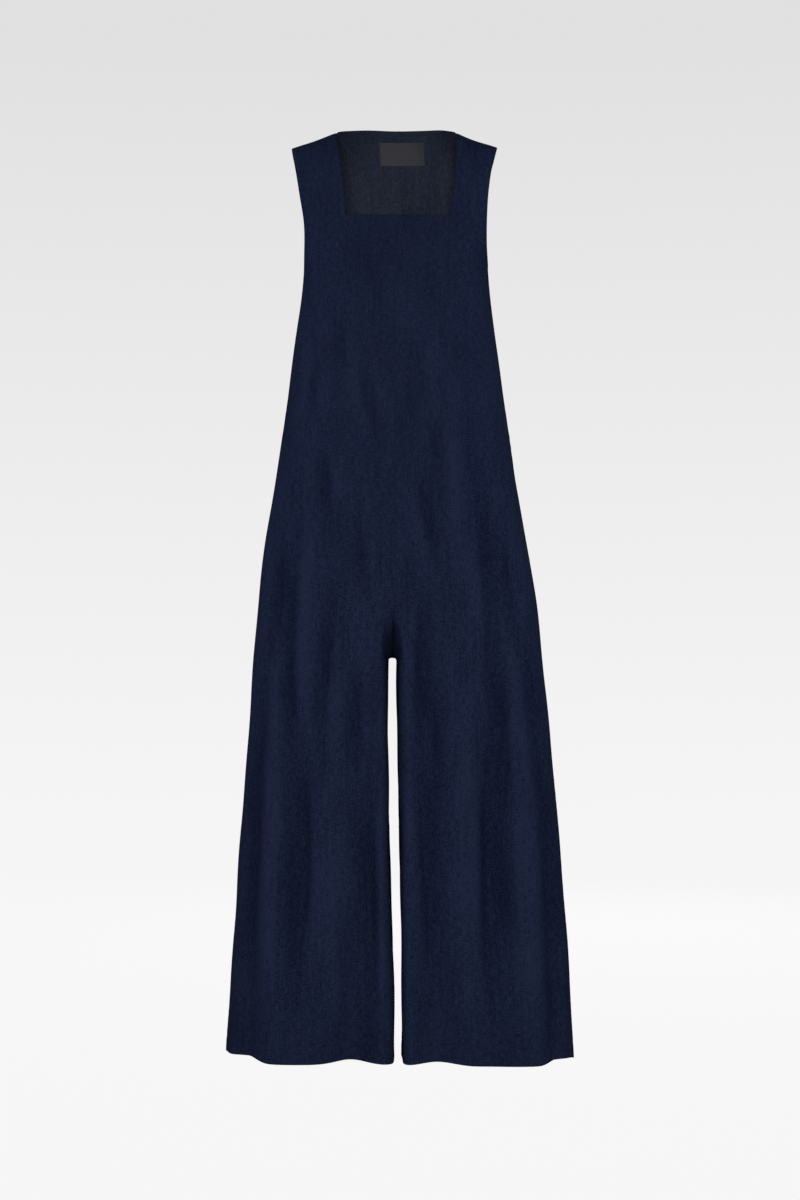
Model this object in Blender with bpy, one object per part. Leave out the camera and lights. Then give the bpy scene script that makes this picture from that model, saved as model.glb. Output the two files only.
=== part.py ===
"""Sleeveless wide-legged jumpsuit with a square neck, hollow and hanging in the shape it has when worn.

Metres, +Z up. The front faces -Y and the wearer's left is at +X. The origin is midway between the
two neck points, at the height where the shoulders carry the garment.

Every panel is one cloth piece from shoulder to hem, read from one surface with two coordinates:
rows run from the shoulder (0) to the hem (ROW_HEM), and columns run from the centre seam or inseam
(0) to the armhole or side seam (SIDE_COLUMN). All sections are worked out in a half-space where x is
the distance from the centre seams. `side` is +1 for the wearer's left and -1 for the right, and
`face` is -1 for the front and +1 for the back.
"""

import bpy
import numpy as np

# Cloth
CLOTH = 0.0015          # one layer
HEM_CLOTH = 0.0030      # the turned-up hem, two layers
FACING_CLOTH = 0.0010
LABEL_CLOTH = 0.0010
SEAM_GAP = 0.0003       # between pieces that are sewn together
LABEL_GAP = 0.0007      # under the label, whose own facets are not the facing's

# Heights, as drops below the neck points
BACK_RISE = 0.0143      # the back neck stands this far above the neck points
SHOULDER_DROP = 0.0240  # at the tip of the shoulder
NECK_DROP = 0.1396      # the straight edge of the front neck
UNDERARM = 0.216
FORK = 0.736            # the centre seams begin to curve in between the legs
CROTCH = 0.8190
HEM = 1.438
HEM_TURN = 0.028

# Neck, armhole and fork
NECK_TOP = {1: 0.0923, -1: 0.0968}     # centre to neck point
NECK_CORNER = {1: 0.0818, -1: 0.0801}  # centre to the corner of the square neck
BACK_NECK_PLACE = 0.029  # how far below its own fold line the cloth is cut at the back neck
NECK_ROUND = 1.4         # how gently that cut edge leaves the shoulder seam
ARM_SPREAD = 0.025      # the chest's curve would reach this far past the armhole's edge
ARM_CLOSE = 0.0325      # at this height above the underarm it reaches half as far
BACK_ARM_INSET = 0.003  # the back armhole is cut this much deeper
FORK_COLUMN = 0.017     # centre to the neck column where the fork begins
FORK_FUNNEL = 0.7       # how much later that column goes in than the seam does
SLOT_TOP = 0.0090       # radius of the round top of the slot between the legs
INSEAM_Y = 0.005
HEM_LIFT = 0.16         # a trough lifts the hem by this share of its depth
HEM_LIFT_FROM = 1.30
FOLD_EDGE = 0.5         # troughs die out over this share of a leg's depth, towards its seams
INNER_SHARE = 0.28      # share of a leg's half ring between the inseam and its inner front edge
LEG_INNER_CORNER = 11.0 # how square the legs are next to the slot
HIP = 0.60              # from here down the body's sections turn into the two legs'

# Rows and columns where the surface changes
ROW_NECK = 7
ROW_UNDERARM = 12
ROW_FORK = 22
ROW_CROTCH = 27
ROW_SLOT = 29
ROW_TURN = 38
ROW_HEM = 39
ROW_FACING = 8
NECK_COLUMN = 7
SIDE_COLUMN = 22
TURN_STEP = 0.03        # in rows, where the hem's wall doubles
FORK_INSIDE = 7         # columns up to here follow the fork, and those from the next number the hip
FORK_OUTSIDE = 12
CURVE_POINTS = 160

LABEL_WIDTH = 0.0715
LABEL_HEIGHT = 0.0355
LABEL_X = 0.0040
LABEL_TOP = 0.0023
LABEL_CELLS = (8, 3)

# Finishes, as linear colours and roughness
NAVY = (0.0091, 0.0123, 0.0296)
NAVY_ROUGHNESS = 0.85
CHARCOAL = (0.0137, 0.0160, 0.0255)
CHARCOAL_ROUGHNESS = 0.8
LABEL_COLOUR = (0.034, 0.032, 0.037)
LABEL_ROUGHNESS = 0.7
SHARP_EDGE = 50          # degrees; flatter edges are shaded smooth


def table(names, *rows):
    """Rows of numbers, with a name for each column."""
    return np.array(list(rows), dtype=[(name, float) for name in names.split()])


# Centre to the outer edge on each side, how far the centre seams lean to the left, and how far the
# legs are turned, as a shift to the left for each metre to the back
OUTLINE = table(
    "drop   lean    left    right   turn",
    (0.000, 0.0015, 0.1580, 0.1695, 0.0000),
    (0.024, 0.0025, 0.1540, 0.1668, 0.0000),
    (0.060, 0.0040, 0.1449, 0.1609, 0.0000),
    (0.100, 0.0045, 0.1393, 0.1539, 0.0000),
    (0.150, 0.0040, 0.1371, 0.1461, 0.0000),
    (0.216, 0.0030, 0.1390, 0.1465, 0.0000),
    (0.310, 0.0015, 0.1505, 0.1580, 0.0000),
    (0.420, 0.0002, 0.1663, 0.1722, 0.0000),
    (0.530, -0.0010, 0.1830, 0.1860, 0.0000),
    (0.630, -0.0025, 0.2030, 0.2015, 0.0000),
    (0.736, -0.0050, 0.2206, 0.2121, -0.0180),
    (0.8145, -0.0066, 0.2314, 0.2174, -0.0340),
    (0.980, -0.0064, 0.2480, 0.2285, -0.0340),
    (1.100, -0.0044, 0.2557, 0.2405, -0.0340),
    (1.240, -0.0005, 0.2652, 0.2538, -0.0340),
    (1.340, 0.0010, 0.2690, 0.2635, -0.0340),
    (1.438, 0.0016, 0.2724, 0.2713, -0.0340),
)

# Depth of the body from the line of the side seams, read against the square root of the drop.
# The corner says how square a section is: 2 is an ellipse, and more is squarer.
BODY = table(
    "drop  front   back    corner",
    (0.000, 0.0000, 0.0000, 2.3),
    (0.005, 0.0220, 0.0240, 2.3),
    (0.020, 0.0440, 0.0480, 2.3),
    (0.040, 0.0580, 0.0660, 2.3),
    (0.080, 0.0735, 0.0850, 2.5),
    (0.140, 0.0900, 0.0970, 3.1),
    (0.200, 0.1060, 0.1010, 3.8),
    (0.260, 0.1160, 0.1010, 3.7),
    (0.340, 0.1185, 0.0975, 3.2),
    (0.420, 0.1175, 0.0950, 2.8),
    (0.520, 0.1180, 0.1000, 2.7),
    (0.640, 0.1200, 0.1120, 2.8),
    (0.740, 0.1190, 0.1160, 2.9),
    (0.830, 0.1170, 0.1140, 2.9),
)

# Depth of each leg to the front and back, where its side seam hangs, its outer corner, and half of
# the slot between the legs
LEGS = table(
    "drop   front_left front_right back   seam_left seam_right corner slot",
    (0.6000, 0.1195, 0.1195, 0.1100, 0.0000, 0.0000, 2.7, 0.0080),
    (0.7000, 0.1190, 0.1190, 0.1140, 0.0000, 0.0000, 2.8, 0.0080),
    (0.8145, 0.1170, 0.1170, 0.1140, 0.0000, 0.0000, 2.9, 0.0080),
    (0.9500, 0.1140, 0.1120, 0.1110, -0.0020, 0.0060, 3.1, 0.0074),
    (1.1500, 0.1110, 0.1050, 0.1080, -0.0080, 0.0180, 3.3, 0.0077),
    (1.3000, 0.1090, 0.1020, 0.1060, -0.0120, 0.0280, 3.4, 0.0069),
    (1.4380, 0.1080, 0.1000, 0.1050, -0.0160, 0.0360, 3.4, 0.0067),
)

# Troughs that run down the legs: x is the distance from the centre at the start, middle and end, and
# inner and outer are the widths towards the inseam and the side seam
FOLDS = table(
    "side face start   end    x_start x_middle x_end  inner   outer  depth_middle depth_end",
    (-1, -1, 0.735, 1.438, 0.0430, 0.0484, 0.0734, 0.0320, 0.0340, 0.0040, 0.0250),
    (-1, -1, 0.530, 1.330, 0.1355, 0.1410, 0.1384, 0.0150, 0.0300, 0.0080, 0.0000),
    (-1, -1, 0.780, 1.438, 0.1978, 0.2181, 0.2320, 0.0180, 0.0500, 0.0160, 0.0340),
    (1, -1, 0.725, 1.438, 0.0405, 0.0436, 0.0606, 0.0320, 0.0360, 0.0040, 0.0220),
    (1, -1, 0.550, 1.340, 0.1187, 0.1330, 0.1386, 0.0150, 0.0300, 0.0080, 0.0000),
    (1, -1, 0.780, 1.438, 0.2024, 0.2325, 0.2405, 0.0150, 0.0600, 0.0120, 0.0280),
    (-1, 1, 0.760, 1.438, 0.0700, 0.0820, 0.0900, 0.0240, 0.0280, 0.0080, 0.0240),
    (-1, 1, 0.640, 1.400, 0.1500, 0.1560, 0.1620, 0.0180, 0.0280, 0.0080, 0.0050),
    (-1, 1, 0.820, 1.438, 0.1980, 0.2170, 0.2330, 0.0220, 0.0400, 0.0120, 0.0260),
    (1, 1, 0.800, 1.438, 0.0600, 0.0740, 0.0780, 0.0230, 0.0280, 0.0080, 0.0220),
    (1, 1, 0.620, 1.438, 0.1420, 0.1510, 0.1600, 0.0180, 0.0280, 0.0090, 0.0100),
    (1, 1, 0.860, 1.438, 0.2080, 0.2240, 0.2380, 0.0220, 0.0400, 0.0110, 0.0240),
)


def smooth(at, knots, values):
    """A cubic through a table's rows, each row's slope taken from its two neighbours."""
    at = np.clip(at, knots[0], knots[-1])
    slopes = np.gradient(values, knots)
    i = np.clip(np.searchsorted(knots, at, side="right") - 1, 0, len(knots) - 2)
    width = knots[i + 1] - knots[i]
    t = (at - knots[i]) / width
    rise = values[i] * (1 - t) ** 2 * (1 + 2 * t) + values[i + 1] * t**2 * (3 - 2 * t)
    return rise + width * t * (1 - t) * (slopes[i] * (1 - t) - slopes[i + 1] * t)


def read(rows, column, drop):
    return smooth(drop, rows["drop"], rows[column])


def ease(t):
    """0 to 1 with level ends."""
    t = np.clip(t, 0, 1)
    return t * t * (3 - 2 * t)


def side_name(side):
    return "left" if side > 0 else "right"


def read_body(column, drop):
    return smooth(np.sqrt(np.maximum(drop, 0)), np.sqrt(BODY["drop"]), BODY[column])


def body_depth(face, drop):
    return read_body("front" if face < 0 else "back", drop)


def side_seam(side, drop):
    """Where the side seam hangs, forward or back of the shoulders."""
    return read(LEGS, "seam_" + side_name(side), drop)


def arm_edge(side, face, drop):
    """Centre to the armhole's edge above the underarm, and to the side seam below it."""
    edge = read(OUTLINE, side_name(side), drop)
    if face > 0:
        edge = edge - BACK_ARM_INSET * np.sin(np.pi * np.clip(drop / UNDERARM, 0, 1))
    return edge


def arm_spread(side, face, drop):
    """Half width of the chest's curve, which the armhole cuts short."""
    height = np.maximum(UNDERARM - drop, 0)
    return arm_edge(side, face, drop) + ARM_SPREAD * height**2 / (height**2 + ARM_CLOSE**2)


def neck_column(side, drop):
    """Centre to the column that starts at the neck's corner and ends beside the fork."""
    top = NECK_TOP[side]
    corner = NECK_CORNER[side]
    above = top + (corner - top) * np.clip(drop / NECK_DROP, 0, 1)
    return above + (FORK_COLUMN - corner) * ease((drop - NECK_DROP) / (FORK - NECK_DROP))


def quarter(angle, corner):
    """A superellipse's quarter of half-axes 1, as distances across and deep at an angle from the front."""
    s = np.sin(angle)
    c = np.cos(angle)
    radius = (np.abs(s) ** corner + np.abs(c) ** corner) ** (-1 / corner)
    return radius * s, radius * c


def body_curve(side, face, drop):
    """Half sections of the body at each drop, from the centre seam to the armhole or side seam."""
    edge = arm_edge(side, face, drop)
    spread = arm_spread(side, face, drop)
    corner = read_body("corner", drop)
    reach = np.minimum(edge / spread, 1)
    last = np.arctan2(reach, (1 - reach**corner) ** (1 / corner))
    across, deep = quarter(np.linspace(0, 1, CURVE_POINTS) * last[:, None], corner[:, None])
    x = spread[:, None] * across
    y = face * body_depth(face, drop)[:, None] * deep
    return np.stack([x, y], axis=2)


def slot_half(row, drop):
    """Centre to the inseam: nothing at the crotch, then a round top, then a long slot."""
    t = np.clip((row - ROW_CROTCH) / (ROW_SLOT - ROW_CROTCH), 0, 1)
    return read(LEGS, "slot", drop) * np.sin(np.pi / 2 * t)


def leg_curve(side, face, row, drop):
    """Half rings of a leg at each drop, from the inseam round the front or back to the side seam."""
    outer = read(OUTLINE, side_name(side), drop)[:, None]
    column = "back" if face > 0 else "front_" + side_name(side)
    depth = face * read(LEGS, column, drop)[:, None]
    angle = np.linspace(-np.pi / 2, np.pi / 2, CURVE_POINTS)
    at_seam = slot_half(row, drop)[:, None]
    at_corner = (read(LEGS, "slot", drop) * ease((drop - FORK) / (CROTCH - FORK)))[:, None]
    inner = at_seam + (at_corner - at_seam) * ease((angle + np.pi / 2) / (np.pi / 4))
    corner = np.where(angle < 0, LEG_INNER_CORNER, read(LEGS, "corner", drop)[:, None])
    across, deep = quarter(angle, corner)
    seam = np.where(angle < 0, INSEAM_Y, side_seam(side, drop)[:, None])
    x = outer / 2 + (outer / 2 - np.where(angle < 0, inner, 0)) * across
    y = seam + (depth - seam) * deep
    return np.stack([x, y], axis=2)


def length_share(curve):
    """Share of each curve's length at each of its points."""
    step = np.linalg.norm(np.diff(curve, axis=1), axis=2)
    length = np.cumsum(np.pad(step, ((0, 0), (1, 0))), axis=1)
    return length / length[:, -1:]


def column_share(column, middle):
    """Columns as shares from 0 to 1, evenly on each side of the neck column, which is at `middle`."""
    inner = middle * column / NECK_COLUMN
    outer = middle + (1 - middle) * (column - NECK_COLUMN) / (SIDE_COLUMN - NECK_COLUMN)
    return np.where(column < NECK_COLUMN, inner, outer)


def pick(curve, share, wanted):
    """Points of each curve at the wanted shares of its length."""
    picked = [
        [np.interp(w, s, c[:, axis]) for axis in (0, 1)] for w, s, c in zip(wanted, share, curve)
    ]
    return np.array(picked).transpose(0, 2, 1)


def level(row):
    """Drop of the level rows, from the front neck down."""
    chest = np.sin(np.pi / 2 * np.clip((row - ROW_NECK) / (ROW_UNDERARM - ROW_NECK), 0, 1))
    drop = NECK_DROP + (UNDERARM - NECK_DROP) * chest
    slot = np.clip((row - ROW_CROTCH) / (ROW_SLOT - ROW_CROTCH), 0, 1)
    slot_top = CROTCH + SLOT_TOP * (1 - np.cos(np.pi / 2 * slot))
    below = np.interp(
        row,
        [ROW_UNDERARM, ROW_FORK, ROW_CROTCH, ROW_SLOT, ROW_TURN, ROW_HEM],
        [UNDERARM, FORK, CROTCH, CROTCH + SLOT_TOP, HEM - HEM_TURN, HEM],
    )
    in_slot = (row > ROW_CROTCH) & (row < ROW_SLOT)
    return np.where(row < ROW_UNDERARM, drop, np.where(in_slot, slot_top, below))


def body_points(side, face, row, column):
    """The surface from the front neck to the hem, a row of points for each level.

    The points lie on the body's sections above the hip and on the leg's rings below the crotch, and
    move smoothly from one to the other in between. Next to the centre seam that starts only at the
    fork, and goes by 1 - cos(turn) while the seam falls by sin(turn), which curves it like a quarter
    of an ellipse in between the legs.
    """
    drop = level(row)
    turn = np.pi / 2 * np.clip((row - ROW_FORK) / (ROW_CROTCH - ROW_FORK), 0, 1)[:, None]

    curve = body_curve(side, face, drop)
    share = length_share(curve)
    neck_x = neck_column(side, drop)
    middle = np.array([np.interp(p, c[:, 0], s) for p, c, s in zip(neck_x, curve, share)])
    by_length = column_share(column[None, :], middle[:, None])
    by_width = np.where(
        column < NECK_COLUMN,
        neck_x[:, None] * column / NECK_COLUMN,
        neck_x[:, None]
        + (arm_edge(side, face, drop) - neck_x)[:, None]
        * (column - NECK_COLUMN)
        / (SIDE_COLUMN - NECK_COLUMN),
    )
    by_width = np.array([np.interp(w, c[:, 0], s) for w, c, s in zip(by_width, curve, share)])
    even = ease((row - ROW_NECK) / (ROW_UNDERARM - ROW_NECK))[:, None]
    body = pick(curve, share, by_width + (by_length - by_width) * even)

    rings = leg_curve(side, face, row, drop)
    wanted = np.broadcast_to(column_share(column, INNER_SHARE), (len(row), len(column)))
    leg = pick(rings, length_share(rings), wanted)

    outside = ease((column - FORK_INSIDE) / (FORK_OUTSIDE - FORK_INSIDE))[None, :]
    spreading = ease((drop - HIP) / (CROTCH - HIP))[:, None]
    later = 1 + FORK_FUNNEL * np.clip(column / NECK_COLUMN, 0, 1)
    weight = (1 - np.cos(turn)) ** later * (1 - outside) + spreading * outside
    flat = body + (leg - body) * weight[:, :, None]
    curved = (CROTCH - FORK) * (np.sin(turn) - turn / (np.pi / 2)) * (1 - outside)
    z = -(drop[:, None] + curved)
    return np.concatenate([flat, z[:, :, None]], axis=2)


def shoulder_points(side, face, row, column):
    """The surface above the front neck, where rows start at the sloping shoulder or the back neck.

    The cloth comes over the shoulder as the body's depth does, read by how far below its own fold
    each point lies; inside the neck points that fold lies above the cut edge.
    """
    tau = (row / ROW_NECK) ** 2
    inside = np.clip(column / NECK_COLUMN, 0, 1)
    beyond = np.clip((column - NECK_COLUMN) / (SIDE_COLUMN - NECK_COLUMN), 0, 1)
    top = SHOULDER_DROP * beyond - BACK_RISE * np.sqrt(1 - inside**3)
    drop = top * (1 - tau) + NECK_DROP * tau
    round_neck = (1 - inside**2) ** NECK_ROUND
    fold = BACK_NECK_PLACE * round_neck * (1 - tau) ** 2 + NECK_DROP * tau
    neck_x = neck_column(side, drop)
    x = neck_x * inside + (arm_edge(side, face, drop) - neck_x) * beyond
    reach = np.minimum(x / arm_spread(side, face, drop), 1)
    corner = read_body("corner", drop)
    y = face * body_depth(face, fold) * (1 - reach**corner) ** (1 / corner)
    return np.stack([x, y, -drop], axis=-1)


def fold_depth(side, face, points):
    """How far the troughs push the cloth in: a bell across each, growing and dying along it."""
    x, y, z = np.moveaxis(points, -1, 0)
    drop = -z
    depth = np.zeros_like(x)
    for fold in FOLDS[(FOLDS["side"] == side) & (FOLDS["face"] == face)]:
        along = np.array([fold["start"], (fold["start"] + fold["end"]) / 2, fold["end"]])
        line = smooth(drop, along, np.array([fold["x_start"], fold["x_middle"], fold["x_end"]]))
        deep = smooth(drop, along, np.array([0, fold["depth_middle"], fold["depth_end"]]))
        inside = (drop > fold["start"]) & (drop <= fold["end"] + CLOTH)
        across = (x - line) / np.where(x < line, fold["inner"], fold["outer"])
        depth += np.where(inside, deep, 0) * np.exp(-(across**2))
    inner = x < read(OUTLINE, side_name(side), drop) / 2
    seam = np.where(inner, INSEAM_Y, side_seam(side, drop))
    from_seam = np.abs(y - seam) / body_depth(face, np.clip(drop, FORK, CROTCH))
    return depth * ease(from_seam / FOLD_EDGE)


def surface(side, face, row, column):
    """Points of one half of the front or back, as [row, column, xyz] from the centre plane."""
    above = row < ROW_NECK
    upper = shoulder_points(side, face, row[above][:, None], column[None, :])
    lower = body_points(side, face, row[~above], column)
    points = np.concatenate([upper, lower])
    deep = fold_depth(side, face, points)
    at_hem = ease((-points[:, :, 2] - HEM_LIFT_FROM) / (HEM - HEM_LIFT_FROM))
    points[:, :, 1] -= face * deep
    points[:, :, 2] += HEM_LIFT * deep * at_hem
    return points


def outward(face, points):
    """Unit normals in the half-space, from the differences along rows and columns."""
    normal = -face * np.cross(np.gradient(points, axis=0), np.gradient(points, axis=1))
    return normal / np.linalg.norm(normal, axis=2, keepdims=True)


def share_normals(front, back, row, column):
    """Gives both sides of every seam the same normal, so that the walls meet edge to edge."""
    for normal in (front, back):
        normal[row <= ROW_CROTCH, 0, 0] = 0
    seams = (
        (row >= ROW_UNDERARM, column == SIDE_COLUMN),
        (row >= ROW_CROTCH, column == 0),
        (row == 0, column >= NECK_COLUMN),
    )
    for rows, columns in seams:
        both = np.ix_(rows, columns)
        mean = front[both] + back[both]
        front[both] = mean
        back[both] = mean
    for normal in (front, back):
        normal /= np.linalg.norm(normal, axis=2, keepdims=True)


def wall(points, normal, depth, row, column):
    """The surface moved in by `depth`, with every sewn edge drawn back by half a seam gap."""
    moved = points - normal * np.broadcast_to(depth, row.shape)[:, None, None]
    edges = (
        (row >= ROW_UNDERARM, column == SIDE_COLUMN, 0, -1),
        (row >= ROW_CROTCH, column == 0, 0, 1),
        (row == 0, column >= NECK_COLUMN, 1, 0),
    )
    drawn = moved.copy()
    for rows, columns, down, along in edges:
        here = np.ix_(rows, columns)
        beside = np.ix_(np.roll(rows, down), np.roll(columns, along))
        step = moved[beside] - moved[here]
        drawn[here] += step / np.linalg.norm(step, axis=2, keepdims=True) * SEAM_GAP / 2
    drawn[:, :, 0] = np.maximum(drawn[:, :, 0], SEAM_GAP / 2)
    return drawn


def place(side, points):
    """From the half-space to the garment: the right side is turned over, seams lean and legs turn."""
    drop = -points[..., 2]
    shift = read(OUTLINE, "lean", drop) + read(OUTLINE, "turn", drop) * points[..., 1]
    return np.stack([side * points[..., 0] + shift, points[..., 1], points[..., 2]], axis=-1)


def cloth(name, outer, inner, cells, flip, material):
    """A closed piece between two grids of points: both faces, and a rim round the cells that are cut."""
    rows, columns = outer.shape[:2]
    number = np.arange(rows * columns).reshape(rows, columns)
    corners = np.stack(
        [number[:-1, :-1], number[1:, :-1], number[1:, 1:], number[:-1, 1:]], axis=-1
    )[cells]
    triangles = np.concatenate([corners[:, [0, 1, 2]], corners[:, [0, 2, 3]]])
    if flip:
        triangles = triangles[:, ::-1]
    edges = np.stack([triangles, np.roll(triangles, -1, axis=1)], axis=-1).reshape(-1, 2)
    inside = {tuple(edge) for edge in edges.tolist()}
    rim = [edge for edge in edges.tolist() if (edge[1], edge[0]) not in inside]
    behind = rows * columns
    faces = triangles.tolist()
    faces += (triangles[:, ::-1] + behind).tolist()
    faces += [[b, a, a + behind, b + behind] for a, b in rim]
    used = np.unique(triangles)
    renumber = np.full(2 * behind, -1)
    renumber[np.concatenate([used, used + behind])] = np.arange(2 * len(used))
    points = np.concatenate([outer.reshape(-1, 3)[used], inner.reshape(-1, 3)[used]])

    mesh = bpy.data.meshes.new(name)
    mesh.from_pydata(points.tolist(), [], [[int(renumber[i]) for i in face] for face in faces])
    mesh.validate()
    mesh.shade_smooth()
    mesh.set_sharp_from_angle(angle=np.radians(SHARP_EDGE))
    mesh.materials.append(material)
    piece = bpy.data.objects.new(name, mesh)
    bpy.context.scene.collection.objects.link(piece)
    return piece


def finish(name, colour, roughness):
    """A matte cloth material."""
    material = bpy.data.materials.new(name)
    material.use_nodes = True
    shader = material.node_tree.nodes["Principled BSDF"]
    shader.inputs["Base Color"].default_value = (*colour, 1)
    shader.inputs["Roughness"].default_value = roughness
    shader.inputs["Metallic"].default_value = 0
    return material


def make_side(side, row, column, navy, charcoal):
    """The front, the back and the back's facing on one side of the garment."""
    front = surface(side, -1, row, column)
    back = surface(side, 1, row, column)
    front_normal = outward(-1, front)
    back_normal = outward(1, back)
    share_normals(front_normal, back_normal, row, column)

    thick = np.where(row >= ROW_TURN, HEM_CLOTH, CLOTH)
    every = np.ones((len(row) - 1, len(column) - 1), bool)
    below_neck = every.copy()
    below_neck[np.ix_(row[:-1] < ROW_NECK, column[:-1] < NECK_COLUMN)] = False
    for face, points, normal, cells in (
        (-1, front, front_normal, below_neck),
        (1, back, back_normal, every),
    ):
        outer = place(side, wall(points, normal, 0, row, column))
        inner = place(side, wall(points, normal, thick, row, column))
        name = ("front_" if face < 0 else "back_") + side_name(side)
        cloth(name, outer, inner, cells, side * face > 0, navy)

    upper = row <= ROW_FACING
    near = CLOTH + SEAM_GAP
    far = near + FACING_CLOTH
    outer = place(side, wall(back, back_normal, near, row, column)[upper])
    inner = place(side, wall(back, back_normal, far, row, column)[upper])
    name = "back_facing_" + side_name(side)
    cloth(name, outer, inner, every[: upper.sum() - 1], side > 0, charcoal)


def make_label(material):
    """A bare rectangle on the facing, read from the back's surface across the centre seam."""
    x = np.linspace(-LABEL_WIDTH / 2, LABEL_WIDTH / 2, LABEL_CELLS[0] + 1) + LABEL_X
    drop = np.linspace(LABEL_TOP, LABEL_TOP + LABEL_HEIGHT, LABEL_CELLS[1] + 1)
    side = np.where(x < 0, -1, 1)
    halves = []
    for one_side in (-1, 1):
        own = np.abs(x[side == one_side])[None, :]
        column = NECK_COLUMN * own / neck_column(one_side, drop[:, None])
        inside = column / NECK_COLUMN
        top = -BACK_RISE * np.sqrt(1 - inside**3)
        row = ROW_NECK * np.sqrt((drop[:, None] - top) / (NECK_DROP - top))
        halves.append(place(one_side, shoulder_points(one_side, 1, row, column)))
    points = np.concatenate(halves, axis=1)
    normal = outward(1, points)
    near = CLOTH + SEAM_GAP + FACING_CLOTH + LABEL_GAP
    cells = np.ones(tuple(reversed(LABEL_CELLS)), bool)
    far = near + LABEL_CLOTH
    cloth("label", points - normal * near, points - normal * far, cells, True, material)


def main():
    for old in list(bpy.data.objects):
        bpy.data.objects.remove(old)
    row = np.sort(np.append(np.arange(ROW_HEM + 1.0), ROW_TURN - TURN_STEP))
    column = np.arange(SIDE_COLUMN + 1.0)
    navy = finish("navy_cloth", NAVY, NAVY_ROUGHNESS)
    charcoal = finish("charcoal_facing", CHARCOAL, CHARCOAL_ROUGHNESS)
    for side in (1, -1):
        make_side(side, row, column, navy, charcoal)
    make_label(finish("label_cloth", LABEL_COLOUR, LABEL_ROUGHNESS))


main()
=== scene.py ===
"""Sleeveless wide-legged jumpsuit with a square neck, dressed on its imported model.

Metres, +Z up. The front faces -Y and the wearer's left is at +X. The origin is midway between the
two neck points. Every cloth piece is read from one surface with two coordinates: rows run from the
shoulder (0) to the hem (ROW_HEM), and columns run from the centre seam or inseam (0) to the armhole
or side seam (SIDE_COLUMN). Sections are worked out in a half-space where x is the distance from the
centre seams. `side` is +1 for the wearer's left and -1 for the right, and `face` is -1 for the
front and +1 for the back.
"""

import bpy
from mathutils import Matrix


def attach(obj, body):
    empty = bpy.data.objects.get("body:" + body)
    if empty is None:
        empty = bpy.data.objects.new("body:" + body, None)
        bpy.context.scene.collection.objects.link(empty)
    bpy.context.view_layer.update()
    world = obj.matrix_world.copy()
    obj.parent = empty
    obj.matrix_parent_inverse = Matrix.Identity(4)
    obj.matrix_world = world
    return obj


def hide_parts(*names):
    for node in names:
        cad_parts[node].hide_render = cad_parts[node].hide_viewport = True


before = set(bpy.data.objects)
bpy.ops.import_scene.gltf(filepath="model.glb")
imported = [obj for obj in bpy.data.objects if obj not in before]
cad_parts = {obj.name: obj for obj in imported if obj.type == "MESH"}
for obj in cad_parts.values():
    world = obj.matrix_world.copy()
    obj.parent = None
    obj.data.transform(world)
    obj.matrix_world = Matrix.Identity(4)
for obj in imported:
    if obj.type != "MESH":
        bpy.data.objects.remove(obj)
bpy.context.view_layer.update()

import bpy
import numpy as np
from bpy.props import FloatProperty, FloatVectorProperty, PointerProperty

bl_info = {
    "name": "Square-neck jumpsuit",
    "version": (1, 0, 0),
    "blender": (4, 5, 0),
    "location": "3D View > Sidebar > Jumpsuit",
    "description": "Makes the cloth pieces, label and stitches of a wide-legged jumpsuit",
    "category": "Object",
}

# Heights, as drops below the neck points
BACK_RISE = 0.0143      # the back neck stands this far above the neck points
SHOULDER_DROP = 0.0240  # at the tip of the shoulder
NECK_DROP = 0.1396      # the straight edge of the front neck
UNDERARM = 0.216
FORK = 0.736            # the centre seams begin to curve in between the legs
CROTCH = 0.8190
HEM = 1.438
HEM_TURN = 0.028        # height of the doubled cloth

# Neck, armhole and fork
NECK_TOP = {1: 0.0923, -1: 0.0968}     # centre to neck point
NECK_CORNER = {1: 0.0818, -1: 0.0801}  # centre to the corner of the square neck
BACK_NECK_PLACE = 0.029  # how far below its own fold line the cloth is cut at the back neck
NECK_ROUND = 1.4         # how gently that cut edge leaves the shoulder seam
ARM_SPREAD = 0.025      # the chest's curve would reach this far past the armhole's edge
ARM_CLOSE = 0.0325      # at this height above the underarm it reaches half as far
BACK_ARM_INSET = 0.003  # the back armhole is cut this much deeper
FORK_COLUMN = 0.017     # centre to the neck column where the fork begins
FORK_FUNNEL = 0.7       # how much later that column goes in than the seam does
SLOT_TOP = 0.0090       # radius of the round top of the slot between the legs
INSEAM_Y = 0.005        # the inseams hang this far back of the shoulders
HEM_LIFT = 0.16         # a trough lifts the hem by this share of its depth
HEM_LIFT_FROM = 1.30
FOLD_EDGE = 0.5         # troughs die out over this share of a leg's depth, towards its seams
INNER_SHARE = 0.28      # share of a leg's half ring between the inseam and its inner front edge
LEG_INNER_CORNER = 11.0 # how square the legs are next to the slot
HIP = 0.60              # from here down the body's sections turn into the two legs'

# Rows and columns where the surface changes
ROW_NECK = 7
ROW_UNDERARM = 12
ROW_FORK = 22
ROW_CROTCH = 27
ROW_SLOT = 29
ROW_TURN = 38
ROW_HEM = 39
ROW_FACING = 8
FORK_INSIDE = 7         # columns up to here follow the fork, and those from the next number the hip
NECK_COLUMN = 7
FORK_OUTSIDE = 12
SIDE_COLUMN = 22
CURVE_POINTS = 700      # on each section, which the columns are read from
GRAIN_LINE = 0.10       # centre to the straight grain of each piece
GRAIN_COLUMN = 12       # lengths down the grain are measured along this column

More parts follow.
